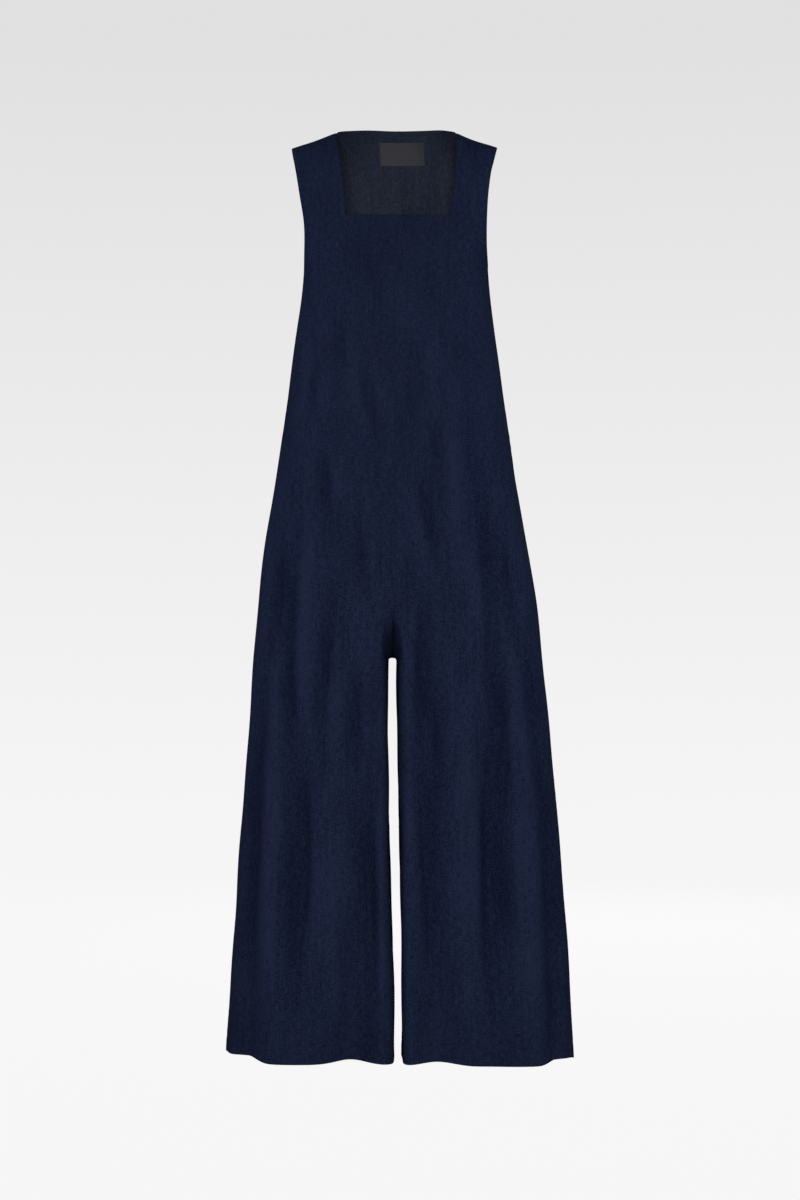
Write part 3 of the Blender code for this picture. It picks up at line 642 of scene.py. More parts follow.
def fold_depth(side, face, points, creasing):
    """How far folds and creases push the cloth in. A fold is a bell across its line, which grows
    and dies along it. All fade out towards the seams at the sides."""
    x, y, z = np.moveaxis(points, -1, 0)
    drop = -z
    depth = creasing * crease_depth(face, place(side, points)[..., 0], drop)
    for fold in FOLDS[(FOLDS["side"] == side) & (FOLDS["face"] == face)]:
        along = np.array([fold["start"], (fold["start"] + fold["end"]) / 2, fold["end"]])
        line = smooth(drop, along, np.array([fold["x_start"], fold["x_middle"], fold["x_end"]]))
        deep = smooth(drop, along, np.array([0, fold["depth_middle"], fold["depth_end"]]))
        deep = np.where(drop > fold["start"], deep, 0)
        across = (x - line) / np.where(x < line, fold["inner"], fold["outer"])
        depth += deep * np.exp(-(across**2))
    inner = x < read(OUTLINE, side_name(side), drop) / 2
    seam = np.where(inner, INSEAM_Y, side_seam(side, drop))
    from_seam = np.abs(y - seam) / body_depth(face, np.clip(drop, FORK, CROTCH))
    return depth * ease(from_seam / FOLD_EDGE)


def surface(side, face, row, column, creasing):
    """Points of one half of the front or back, as [row, column, xyz] from the centre plane."""
    above = row < ROW_NECK
    upper = shoulder_points(side, face, row[above][:, None], column[None, :])
    lower = body_points(side, face, row[~above], column)
    points = np.concatenate([upper, lower])
    deep = fold_depth(side, face, points, creasing)
    at_hem = ease(-points[:, :, 2], HEM_LIFT_FROM, HEM)
    points[:, :, 1] -= face * deep
    points[:, :, 2] += HEM_LIFT * deep * at_hem
    return points


def place(side, points):
    """From the half-space to the garment: the right side is turned over, the seams lean and the
    legs turn, all by shifts in x."""
    drop = -points[..., 2]
    shift = read(OUTLINE, "lean", drop) + read(OUTLINE, "turn", drop) * points[..., 1]
    return np.stack([side * points[..., 0] + shift, points[..., 1], points[..., 2]], axis=-1)


def unit(vectors):
    """The same directions with a length of 1."""
    return vectors / np.linalg.norm(vectors, axis=-1, keepdims=True)


def outward(face, points):
    """Unit normals in the half-space: the cross product of the steps along rows and columns."""
    return unit(-face * np.cross(np.gradient(points, axis=0), np.gradient(points, axis=1)))


def shared_normals(halves, row, column):
    """Unit normals of the front and back. Both sides of a seam have the same one, the mean of the
    two, so that edges meet."""
    front, back = [outward(face, half) for face, half in zip((-1, 1), halves)]
    for normal in (front, back):
        normal[row <= ROW_CROTCH, 0, 0] = 0
    seams = (
        (row >= ROW_UNDERARM, column == SIDE_COLUMN),
        (row >= ROW_CROTCH, column == 0),
        (row == 0, column >= NECK_COLUMN),
    )
    for rows, columns in seams:
        both = np.ix_(rows, columns)
        front[both] = back[both] = unit(front[both] + back[both])
    return unit(front), unit(back)


def unevenness(points):
    """Height of the cloth's slow unevenness: a sum of sines of the place in the garment."""
    height = np.zeros(points.shape[:-1])
    for wave in WAVES:
        turns = points @ np.array([wave["across"], wave["deep"], wave["down"]]) + wave["phase"]
        height += wave["height"] * np.sin(2 * np.pi * turns)
    return height


def relief(depth, column):
    """Painted shade for the cloth's colour: how far the folds stand out from the cloth around them,
    the bell-weighted mean of the depth along a row, less the depth, as a share of a full ridge."""
    weight = np.exp(-(((column[:, None] - column) / RELIEF_REACH) ** 2)) * np.gradient(column)
    weight /= weight.sum(axis=1, keepdims=True)
    return np.clip((depth @ weight.T - depth) / RELIEF_FULL, -1, 1)


def lines(spans, beside):
    """Grid lines: even steps over each span, with closer ones beside the edges."""
    even = [np.linspace(start, end, steps + 1) for start, end, steps in spans]
    return np.unique(np.round(np.concatenate([*even, beside]), 4))


def roll(distance, reach):
    """A quarter of an ellipse, from 0 at an edge to 1 at `reach` from it, which is
    sqrt(1 - (1 - distance / reach) ** 2)."""
    return np.sqrt(1 - (1 - between(distance, 0, reach)) ** 2)


def grain_map(side, points, row, column):
    """Metres across and down the grain: lengths along each row from the grain line, and lengths
    down the grain's own column."""
    across = running_length(points, 1)
    on_line = read_rows(np.full((len(row), 1), GRAIN_LINE), points[:, :, 0], across)
    down = running_length(points, 0)[:, np.searchsorted(column, GRAIN_COLUMN)]
    both = np.broadcast_arrays(side * (across - on_line), -down[:, None])
    return np.stack(both, axis=-1)


# ---------------------------------------------------------------------------------------------
# Meshes


def new_piece(name, points, faces, material, flat=None, fold_shade=None):
    """An object at the origin with this mesh, shaded smooth; `flat` is its grain map, and the last
    argument is its painted shade, lighter on ridges and darker in troughs, point by point."""
    mesh = bpy.data.meshes.new(name)
    mesh.from_pydata(points.tolist(), [], faces.tolist())
    if flat is not None:
        layer = mesh.uv_layers.new(name=GRAIN)
        layer.data.foreach_set("uv", flat[faces.ravel()].ravel())
    if fold_shade is not None:
        mesh.attributes.new(PAINTED_SHADE, "FLOAT", "POINT").data.foreach_set("value", fold_shade)
    mesh.validate()
    mesh.shade_smooth()
    mesh.materials.append(material)
    piece = bpy.data.objects.new(name, mesh)
    bpy.context.scene.collection.objects.link(piece)
    return piece


def grid_faces(number, cells):
    """Four-cornered faces of a grid of point numbers, where `cells` is true."""
    corners = [number[:-1, :-1], number[1:, :-1], number[1:, 1:], number[:-1, 1:]]
    return np.stack(corners, axis=-1)[cells]


def whole_grid(points):
    """Where a grid has faces, which is everywhere, and which of its points are on its edge."""
    rows, columns = points.shape[:2]
    edge = np.ones((rows, columns), bool)
    edge[1:-1, 1:-1] = False
    return np.ones((rows - 1, columns - 1), bool), edge


def sew(name, outer, inner, grid, flip, flat, material, fold_shade=None):
    """A closed cloth piece: the outer grid, and the inner one turned over, which share the edge's
    points. `grid` holds the faces and the edge, and `flip` turns the whole piece inside out."""
    cells, edge = grid
    count = edge.size
    number = np.arange(count).reshape(edge.shape)
    behind = np.where(edge, number, number + count)
    faces = np.concatenate([grid_faces(number, cells), grid_faces(behind, cells)[:, ::-1]])
    if flip:
        faces = faces[:, ::-1]
    used, faces = np.unique(faces, return_inverse=True)
    points = np.concatenate([outer.reshape(-1, 3), inner.reshape(-1, 3)])[used]
    flat = np.concatenate([flat.reshape(-1, 2)] * 2)[used]
    if fold_shade is not None:
        fold_shade = np.concatenate([fold_shade.ravel()] * 2)[used]
    return new_piece(name, points, faces.reshape(-1, 4), material, flat, fold_shade)


def dress(piece, node):
    """The piece stands for its node and rides on the garment's one body."""
    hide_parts(node)
    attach(piece, "root")


def half_surfaces(side, row, column, creasing):
    """Front and back of one side, with the slow unevenness, and their shared normals."""
    halves = [surface(side, face, row, column, creasing) for face in (-1, 1)]
    normals = shared_normals(halves, row, column)
    halves = [
        half + normal * unevenness(place(side, half))[..., None]
        for half, normal in zip(halves, normals)
    ]
    return halves, shared_normals(halves, row, column)


def seam_pucker(drop, distance):
    """Small ripples along the seams: a sine down them whose pace drifts, times a bell across."""
    turns = drop / PUCKER_LENGTH
    for drift, pace in PUCKER_DRIFT:
        turns = turns + drift * np.sin(drop * pace)
    return PUCKER * np.sin(2 * np.pi * turns) * np.exp(-((distance / PUCKER_REACH) ** 2))


def pressed_share(across, rows):
    """Share of a seam's depth that is left beside the centre seams, which are pressed flat on these
    rows: 1, less a flat-topped bell across the seam, exp(-(d / r) ** 4)."""
    return 1 - (1 - CENTRE_FLAT) * np.exp(-((across / SEAM_ROLL) ** 4)) * rows[:, None]


def cut_neck(grid, row, column, across, down):
    """Takes the square neck out of the front's grid, and gives the roll along its two edges."""
    cells, edge = grid
    cells[np.ix_(row[:-1] < ROW_NECK, column[:-1] < NECK_COLUMN)] = False
    edge[np.ix_(row <= ROW_NECK, column == NECK_COLUMN)] = True
    edge[np.ix_(row == ROW_NECK, column <= NECK_COLUMN)] = True
    beside = np.maximum(across - across[:, [np.searchsorted(column, NECK_COLUMN)]], 0)
    below = np.maximum(down - down[[np.searchsorted(row, ROW_NECK)]], 0)
    return roll(np.hypot(beside, below), EDGE_ROLL)


def make_panel(side, face, cloth, material):
    """One front or back piece, with rolled seams and edges and its doubled hem.

    Both layers lie on the surface. Towards a seam or edge they draw together by the roll, and at
    the hem's turn the inner one steps in by one more layer.
    """
    row = lines(ROW_SPANS, ROWS_BESIDE)
    column = lines(COLUMN_SPANS, COLUMNS_BESIDE)
    halves, normals = half_surfaces(side, row, column, cloth.creasing)
    points = halves[(face + 1) // 2]
    normal = normals[(face + 1) // 2]
    across = running_length(points, 1)
    down = running_length(points, 0)
    from_side = across[:, -1:] - across
    from_hem = down[-1:] - down

    sewn_side = ease(row, ROW_UNDERARM - UNDERARM_BLEND, ROW_UNDERARM + UNDERARM_BLEND)[:, None]
    side_reach = EDGE_ROLL + (SEAM_ROLL - EDGE_ROLL) * sewn_side
    top_reach = np.where(column < NECK_COLUMN, EDGE_ROLL, SEAM_ROLL)
    full = roll(across, SEAM_ROLL) * roll(from_side, side_reach)
    full *= roll(down, top_reach) * roll(from_hem, EDGE_ROLL)
    grid = whole_grid(points)
    if face < 0:
        full *= cut_neck(grid, row, column, across, down)

    drop = -points[:, :, 2]
    to_seam = np.minimum(across, np.where(sewn_side > 0, from_side, across))
    ripple = seam_pucker(drop, to_seam)
    dip = STITCH_DIP * np.exp(-(((from_hem - STITCH_LINE) / STITCH_DIP_WIDTH) ** 2))
    thick = cloth.thickness * (1 + (row >= ROW_TURN))[:, None]
    half = cloth.thickness / 2
    pressed = pressed_share(across, row < ROW_CROTCH)
    outer = points + normal * (ripple - dip - half * (1 - full) * pressed)[..., None]
    inner = points + normal * (ripple - half - (thick - half) * full)[..., None]
    name = ("front_" if face < 0 else "back_") + side_name(side)
    # Painted shade: the folds' colour is lighter on ridges and darker in troughs.
    fold_shade = relief(crease_depth(face, place(side, points)[..., 0], drop), column)
    piece = sew(
        name + "_cloth", place(side, outer), place(side, inner), grid, side * face > 0,
        grain_map(side, points, row, column), material, fold_shade,
    )
    dress(piece, name)
    return piece


def make_facing(side, cloth, material):
    """The back's facing on one side, a single layer under the back piece with the same rolls."""
    row = lines(FACING_ROWS, FACING_ROWS_BESIDE)
    column = lines(FACING_COLUMNS, FACING_COLUMNS_BESIDE)
    points = surface(side, 1, row, column, cloth.creasing)
    normal = outward(1, points)
    normal[:, 0, 0] = 0
    normal = unit(normal)
    points = points + normal * unevenness(place(side, points))[..., None]
    across = running_length(points, 1)
    down = running_length(points, 0)
    full = roll(across, SEAM_ROLL) * roll(across[:, -1:] - across, EDGE_ROLL)
    full *= roll(down, EDGE_ROLL) * roll(down[-1:] - down, EDGE_ROLL)
    near = cloth.thickness + FACING_GAP
    half = cloth.facing_thickness / 2
    pressed = pressed_share(across, row <= ROW_FACING)
    outer = points - normal * (near + half * (1 - full) * (2 - pressed))[..., None]
    inner = points - normal * (near + half * (2 - (1 - full) * pressed))[..., None]
    name = "back_facing_" + side_name(side)
    piece = sew(
        name + "_cloth", place(side, outer), place(side, inner), whole_grid(points), side > 0,
        grain_map(side, points, row, column), material,
    )
    dress(piece, name)
    return piece


def label_surface(across, down):
    """Points and normals under the label: the back's surface, read by the distance from the centre
    and the drop, which give the row and column."""
    halves = []
    for side in (-1, 1):
        own = np.abs(across[(across < 0) == (side < 0)])[None, :]
        column = NECK_COLUMN * own / neck_column(side, down[:, None])
        top = -BACK_RISE * np.sqrt(1 - (column / NECK_COLUMN) ** 3)
        row = ROW_NECK * np.sqrt((down[:, None] - top) / (NECK_DROP - top))
        halves.append(place(side, shoulder_points(side, 1, row, column)))
    points = np.concatenate(halves, axis=1)
    normal = outward(1, points)
    return points + normal * unevenness(points)[..., None], normal


def make_label(cloth, material):
    """The bare woven label: a ribbon whose turned-under ends lift it a little, with the middle
    swelling by a sine between them. Gives the piece, and the lines along its ends with their
    normals for the stitches."""
    share_x, share_y = [
        even - LABEL_CROWDING * np.sin(2 * np.pi * even)
        for even in (np.linspace(0, 1, count + 1) for count in LABEL_CELLS)
    ]
    x = LABEL_WIDTH * (share_x - 0.5) + LABEL_X
    points, normal = label_surface(x, LABEL_TOP + LABEL_HEIGHT * share_y)
    across = running_length(points, 1)
    down = running_length(points, 0)
    from_end = np.minimum(across, across[:, -1:] - across)
    from_side = np.minimum(down, down[-1:] - down)
    full = roll(from_end, LABEL_ROLL) * roll(from_side, LABEL_ROLL)
    fold = 1 - ease(from_end, LABEL_FOLD, LABEL_FOLD + LABEL_FOLD_STEP)
    bulge = LABEL_BULGE * np.sin(np.pi * share_x) * np.sqrt(np.sin(np.pi * share_y))[:, None]
    lift = cloth.thickness + FACING_GAP + cloth.facing_thickness + LABEL_GAP + bulge
    half = (cloth.label_thickness + LABEL_FOLD_RISE * fold) / 2
    outer = points - normal * (lift + half * (1 - full))[..., None]
    inner = points - normal * (lift + half * (1 + full))[..., None]
    flat = np.stack([across, -down], axis=-1)
    piece = sew("label_cloth", outer, inner, whole_grid(points), True, flat, material)
    dress(piece, "label")
    sewn = from_side[:, 0] > LABEL_STITCH_INSET / 2
    top = across[0]
    columns = [np.abs(end - LABEL_STITCH_INSET).argmin() for end in (top, top[-1] - top)]
    return piece, [(inner[sewn, column], -normal[sewn, column]) for column in columns]


def rod(length, thickness):
    """A short rod with round ends along x, as points and outward triangles: rings of radius
    sin(v) ** ROD_ROUND at -cos(v), with a fan over each end ring."""
    turn = np.arange(ROD_SIDES) / ROD_SIDES * 2 * np.pi
    lean = np.linspace(ROD_TIP, 1 - ROD_TIP, ROD_RINGS)[:, None] * np.pi
    radius = np.sin(lean) ** ROD_ROUND * thickness / 2
    along = -np.cos(lean) * length / 2 * np.ones(ROD_SIDES)
    points = np.stack([along, radius * np.sin(turn), radius * np.cos(turn)], axis=-1)
    number = np.arange(ROD_RINGS * ROD_SIDES).reshape(ROD_RINGS, ROD_SIDES)
    number = np.concatenate([number, number[:, :1]], axis=1)
    sides = grid_faces(number, np.ones((ROD_RINGS - 1, ROD_SIDES), bool))
    first = np.arange(1, ROD_SIDES - 1)
    fan = np.stack([np.zeros_like(first), first, first + 1], axis=1)
    faces = [sides[:, [0, 1, 2]], sides[:, [0, 2, 3]], fan, fan[:, ::-1] + number[-1, 0]]
    return points.reshape(-1, 3), np.concatenate(faces)


def stitch_row(name, path, normal, stitches, size, material):
    """A row of stitches along a path, each a rod laid along the path's step and half sunk in the
    cloth. `size` is a share of the settings'."""
    length = running_length(path[None], 1)[0]
    count = int(length[-1] / (stitches.pitch * size))
    middle = (np.arange(count) + 0.5) * length[-1] / count

    def read_at(values, offset):
        """Three values of the path, this far past each stitch's middle."""
        return np.stack([np.interp(middle + offset, length, row) for row in values.T], axis=1)

    reach = stitches.length * size / 2
    centre = read_at(path, 0)
    ahead = unit(read_at(path, reach) - read_at(path, -reach))
    up = read_at(normal, 0)
    up = unit(up - ahead * np.sum(up * ahead, axis=1, keepdims=True))
    frames = np.stack([ahead, np.cross(up, ahead), up], axis=1)
    stitch, faces = rod(stitches.length * size, stitches.thickness * size)
    points = centre[:, None, :] + np.einsum("pk,nkc->npc", stitch, frames)
    faces = (faces[None] + np.arange(count)[:, None, None] * len(stitch)).reshape(-1, 3)
    piece = new_piece(name, points.reshape(-1, 3), faces, material)
    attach(piece, "root")
    return piece


def hem_path(side, cloth):
    """The ring of the hem's stitches: front from the inseam to the side seam, and back again."""
    row = lines(ROW_SPANS, ROWS_BESIDE)
    column = lines(COLUMN_SPANS, ())
    halves, normals = half_surfaces(side, row, column, cloth.creasing)
    here = np.searchsorted(row, ROW_TURN + (HEM_TURN - STITCH_LINE) / HEM_TURN)
    front, back = [
        place(side, half[here] - normal[here] * STITCH_DIP) for half, normal in zip(halves, normals)
    ]
    turned_over = np.array([side, 1, 1])
    normal = np.concatenate([normals[0][here], normals[1][here][::-1]]) * turned_over
    return np.concatenate([front, back[::-1]]), normal


# ---------------------------------------------------------------------------------------------
# Stage


def make_bowl(stage):
    """A floor turned up at its rim, spun round: a flat disc, a quarter of a circle, then a wall.

    It is seen and not lit: no light that it sends or stops reaches the garment.
    """
    disc = np.linspace(0, BOWL_FLAT, BOWL_RINGS[0])[:-1]
    arc = np.linspace(0, np.pi / 2, BOWL_RINGS[1])
    radius = np.concatenate([disc, BOWL_FLAT + BOWL_BEND * np.sin(arc), [BOWL_FLAT + BOWL_BEND]])
    height = np.concatenate([0 * disc, BOWL_BEND * (1 - np.cos(arc)), [BOWL_WALL]])
    turn = np.arange(BOWL_SIDES) / BOWL_SIDES * 2 * np.pi
    radius, height = radius[:, None], height[:, None] + stage.floor
    spun = np.broadcast_arrays(radius * np.cos(turn), radius * np.sin(turn), height)
    points = np.stack(spun, axis=-1)
    number = np.arange(radius.size * BOWL_SIDES).reshape(-1, BOWL_SIDES)
    number = np.concatenate([number, number[:, :1]], axis=1)
    cells = np.ones((radius.size - 1, BOWL_SIDES), bool)
    material = paper("stage_paper", stage.floor, stage.glow)
    bowl = new_piece("stage_bowl", points.reshape(-1, 3), grid_faces(number, cells), material)
    for ray in ("visible_diffuse", "visible_glossy", "visible_shadow"):
        setattr(bowl, ray, False)


def make_softbox(name, power, at, aim, spread, width, mirrored):
    """A square softbox that is turned towards the garment's middle line at the drop `aim`."""
    light = bpy.data.lights.new(name, "AREA")
    light.shape = "SQUARE"
    light.size = width
    light.energy = power
    light.spread = np.radians(spread)
    box = bpy.data.objects.new(name, light)
    bpy.context.scene.collection.objects.link(box)
    box.visible_glossy = mirrored
    ahead = np.array([0, 0, -aim]) - at
    tilt = np.arctan2(np.hypot(ahead[0], ahead[1]), -ahead[2])
    box.location = at
    box.rotation_euler = (float(tilt), 0, float(np.arctan2(-ahead[0], ahead[1])))


def fill_room(stage):
    """The room's even white light."""
    room = bpy.data.worlds.new("room")
    room.use_nodes = True
    air = room.node_tree.nodes["Background"]
    air.inputs["Color"].default_value = (1, 1, 1, 1)
    air.inputs["Strength"].default_value = stage.ambient
    bpy.context.scene.world = room


def place_camera(stage):
    """A level camera on a circle round the garment, moved a little to its own right."""
    lens = bpy.data.cameras.new("camera")
    lens.sensor_width = SENSOR
    lens.lens = stage.lens
    lens.clip_end = FARTHEST
    camera = bpy.data.objects.new("camera", lens)
    ahead = np.array([-np.sin(stage.turn), np.cos(stage.turn)])
    right = np.array([np.cos(stage.turn), np.sin(stage.turn)])
    camera.location = (*(stage.aside * right - stage.distance * ahead), stage.eye)
    camera.rotation_euler = (np.pi / 2, 0, stage.turn)
    scene = bpy.context.scene
    scene.collection.objects.link(camera)
    scene.camera = camera
    scene.view_settings.view_transform = "Standard"


# ---------------------------------------------------------------------------------------------
# Finishes


class Amount:
    """A number that changes over a finish. Expressions written with it add Math nodes there."""

    def __init__(self, finish, socket):
        self.finish = finish
        self.socket = socket

    def worked(self, operation, *values):
        """The Math node of one operation on these values."""
        node = self.finish.node("ShaderNodeMath", {"operation": operation}, dict(enumerate(values)))
        return Amount(self.finish, node.outputs[0])

    def __add__(self, other):
        return self.worked("ADD", self, other)

    def __radd__(self, other):
        return self.worked("ADD", other, self)

    def __sub__(self, other):
        return self.worked("SUBTRACT", self, other)

    def __rsub__(self, other):
        return self.worked("SUBTRACT", other, self)

    def __mul__(self, other):
        return self.worked("MULTIPLY", self, other)

    def __rmul__(self, other):
        return self.worked("MULTIPLY", other, self)

    def __pow__(self, power):
        return self.worked("POWER", self, power)

    def sine(self):
        """Its sine, in radians."""
        return self.worked("SINE", self)

    def size(self):
        """The number without its sign."""
        return self.worked("ABSOLUTE", self)

    def held(self, low, high):
        """The number, kept between two others."""
        above = self.worked("MAXIMUM", self, low)
        return self.worked("MINIMUM", above, high)


class Finish:
    """A material and its nodes."""

    def __init__(self, name):
        self.material = bpy.data.materials.new(name)
        self.material.use_nodes = True
        self.tree = self.material.node_tree
        self.shader = self.tree.nodes["Principled BSDF"]

    def feed(self, socket, value):
        """Links a value to a socket, or sets it there."""
        value = getattr(value, "socket", value)
        if isinstance(value, bpy.types.NodeSocket):
            self.tree.links.new(value, socket)
        else:
            socket.default_value = value

    def node(self, kind, settings, sockets):
        """Adds a node: its type, then its settings, then the values or links of its sockets."""
        node = self.tree.nodes.new(kind)
        for name, value in settings.items():
            setattr(node, name, value)
        for name, value in sockets.items():
            self.feed(node.inputs[name], value)
        return node

    def set(self, **values):
        """Sets the shader's own sockets, by name with spaces for underscores."""
        for name, value in values.items():
            self.feed(self.shader.inputs[name.replace("_", " ")], value)

    def grain(self):
        """Place on the cloth in metres across and down its grain."""
        return self.node("ShaderNodeUVMap", {"uv_map": GRAIN}, {}).outputs["UV"]

    def room(self):
        """Place in the room, in metres from the garment's origin."""
        return self.node("ShaderNodeTexCoord", {}, {}).outputs["Object"]

    def streaks(self, place, across, down, seed, detail=2):
        """Soft noise from about -0.5 to 0.5 in patches of this size across and down."""
        scaled = self.node(
            "ShaderNodeMapping", {},
            {"Vector": place, "Location": (seed, -seed, 0), "Scale": (1 / across, 1 / down, 1)},
        )
        noise = self.node(
            "ShaderNodeTexNoise", {"noise_dimensions": "2D"},
            {
                "Vector": scaled.outputs[0], "Scale": 1.0, "Detail": detail,
                "Roughness": NOISE_ROUGHNESS,
            },
        )
        return Amount(self, noise.outputs[0]) - 0.5

    def axes(self, place):
        """A place's coordinates."""
        parts = self.node("ShaderNodeSeparateXYZ", {}, {0: place})
        return [Amount(self, part) for part in parts.outputs]

    def shade(self, dark, light, amount):
        """A colour between two, by an amount from 0 to 1."""
        mix = self.node(
            "ShaderNodeMix", {"data_type": "RGBA", "clamp_factor": True},
            {0: amount, 6: (*dark, 1), 7: (*light, 1)},
        )
        return mix.outputs[2]

    def bump(self, height, distance):
        """Normals of a height, in units of `distance`."""
        sockets = {"Height": height, "Distance": distance, "Strength": 1.0}
        return self.node("ShaderNodeBump", {}, sockets).outputs["Normal"]


def woven(name, colour, roughness, yarn, contrast, painted_shading):
    """Plain-woven cloth.

    The yarns' height is sqrt(|sin(pi x / yarn) sin(pi y / yarn)|), a knuckle at every crossing.
    Both systems of yarns have streaks a yarn wide and slubs a few yarns wide, with specks, mottling
    and long bars down the warp, and all of these grow stronger from the waist down to the thighs.
    The cloth is rubbed lighter in slow patches, with painted light on its ridges and painted
    shade in its troughs.
    """
    finish = Finish(name)
    place = finish.grain()
    x, y, _ = finish.axes(place)
    knuckles = ((x * (np.pi / yarn)).sine() * (y * (np.pi / yarn)).sine()).size() ** 0.5
    streaks = {
        kind: finish.streaks(place, yarn * across, yarn * down, seed, detail)
        for kind, (across, down, seed, detail, _) in STREAKS.items()
    }
    parts = [streaks[kind] * share for kind, (*_, share) in STREAKS.items()]
    heather = sum(parts[1:], parts[0])
    slubs = streaks["warp_slubs"] + streaks["weft_slubs"]
    patches = finish.streaks(place, *PATCH)
    # Painted shade of the folds, read back: 1 on a ridge, -1 in a trough.
    fold_shade = finish.node("ShaderNodeAttribute", {"attribute_name": PAINTED_SHADE}, {})
    fold_shade = Amount(finish, fold_shade.outputs["Fac"])

    legs = ((y + LEGS_GRAIN) * (-1 / LEGS_GRAIN_SPAN)).held(0, 1)
    strength = CHEST_HEATHER + legs * (LEG_HEATHER - CHEST_HEATHER)
    tone = 0.5 + heather * strength + patches * PATCH_SHARE
    # Painted light on the ridges and painted shade in the troughs join the tone here.
    tone = tone + (knuckles - KNUCKLE_MEAN) * KNUCKLE_SHARE + fold_shade * (painted_shading / (2 * contrast))
    height = knuckles + (streaks["warp"] + streaks["weft"]) * YARN_RELIEF + slubs * SLUB_RELIEF
    dark = [c * (1 - contrast * share) for c, share in zip(colour, UNDYED)]
    light = [c * (1 + contrast * share) for c, share in zip(colour, UNDYED)]
    finish.set(
        Base_Color=finish.shade(dark, light, tone),
        Roughness=roughness + slubs * SLUB_ROUGHNESS,
        Normal=finish.bump(height, yarn * WEAVE_DEPTH),
        Specular_IOR_Level=CLOTH_GLOSS,
        Sheen_Weight=CLOTH_SHEEN,
        Sheen_Roughness=SHEEN_ROUGHNESS,
        Sheen_Tint=(*[min(1.0, c * SHEEN_PALENESS) for c in colour], 1),
    )
    return finish.material


def ribbon(name, colour, roughness):
    """The label's satin weave: |sin| ribs across it and |sin| floats along it, with streaks along
    the ribs and specks of lint."""
    finish = Finish(name)
    place = finish.grain()
    x, y, _ = finish.axes(place)
    ribs = (y * (np.pi / RIB)).sine().size()
    floats = (x * (np.pi / FLOAT)).sine().size()
    streaks = finish.streaks(place, *SATIN_STREAK)
    lint = finish.streaks(place, *SATIN_LINT)
    tone = 0.5 + (ribs - RIB_MEAN) * RIB_SHARE + streaks * STREAK_SHARE + lint * LINT_SHARE
    dark = [c * (1 - SATIN_CONTRAST) for c in colour]
    light = [c * (1 + SATIN_CONTRAST) for c in colour]
    finish.set(
        Base_Color=finish.shade(dark, light, tone),
        Roughness=roughness + streaks * STREAK_ROUGHNESS,
        Normal=finish.bump(ribs + floats * FLOAT_RELIEF + streaks, SATIN_RELIEF),
        Specular_IOR_Level=THREAD_GLOSS,
    )
    return finish.material


def thread(name, colour, roughness):
    """Sewing thread, which a fine noise in its place makes lighter, rougher and higher by turns."""
    finish = Finish(name)
    twist = finish.node(
        "ShaderNodeTexNoise", {}, {"Vector": finish.room(), "Scale": THREAD_TWIST, "Detail": 2.0}
    )
    amount = Amount(finish, twist.outputs[0])
    dark = [c * THREAD_DARK for c in colour]
    light = [c * THREAD_LIGHT for c in colour]
    finish.set(
        Base_Color=finish.shade(dark, light, amount),
        Roughness=roughness + (amount - 0.5) * TWIST_ROUGHNESS,
        Normal=finish.bump(amount, THREAD_RELIEF),
        Specular_IOR_Level=THREAD_GLOSS,
    )
    return finish.material


def paper(name, floor, glow):
    """The stage's pale paper, which glows as painted light: its tone and glow go evenly from the
    floor's to the darker one high up with the height. It takes little from the lamps."""
    finish = Finish(name)
    height = finish.axes(finish.room())[2]
    rise = (height - floor) * (1 / PAPER_RISE)
    low = np.full(3, PAPER_LOW)
    high = np.full(3, PAPER_HIGH)
    # Painted light: the paper glows, and both its glow and its tone are darker high up.
    finish.set(
        Base_Color=finish.shade(low * PAPER_MATTE, high * PAPER_MATTE, rise),
        Emission_Color=finish.shade(low, high, rise),
        Emission_Strength=glow,
        Roughness=1.0,
        Specular_IOR_Level=0.0,
    )
    return finish.material


# ---------------------------------------------------------------------------------------------
# Settings


def setting(name, description, default, **limits):
    """A setting with no unit, or with the one that is given among its limits."""
    return FloatProperty(name=name, description=description, default=default, **limits)


def metres(name, description, default, **limits):
    """A distance or a height."""
    limits = {"precision": 4, "unit": "LENGTH", "subtype": "DISTANCE", **limits}
    return setting(name, description, default, **limits)


def measure(name, description, default):
    """A distance that is never below zero."""
    return metres(name, description, default, min=0)


def portion(name, description, default, most=1):
    """A share of something, from none to `most` of it."""
    return setting(name, description, default, min=0, max=most, subtype="FACTOR")


def watts(name, description, default):
    """A lamp's power."""
    return setting(name, description, default, min=0, unit="POWER")


def dye(name, description, default):
    """A colour, linear."""
    return FloatVectorProperty(
        name=name, description=description, default=default, min=0, max=1, size=3, subtype="COLOR"
    )


class JumpsuitCloth(bpy.types.PropertyGroup):
    """Sizes of the cloth pieces."""

    thickness: measure("Cloth", "Thickness of one layer of the navy cloth", 0.0015)
    facing_thickness: measure("Facing", "Thickness of the back's facing", 0.0009)
    label_thickness: measure("Label", "Thickness of the woven label", 0.0006)
    creasing: portion("Creasing", "Depth of the soft creases, as a share of their own", 1, 2)


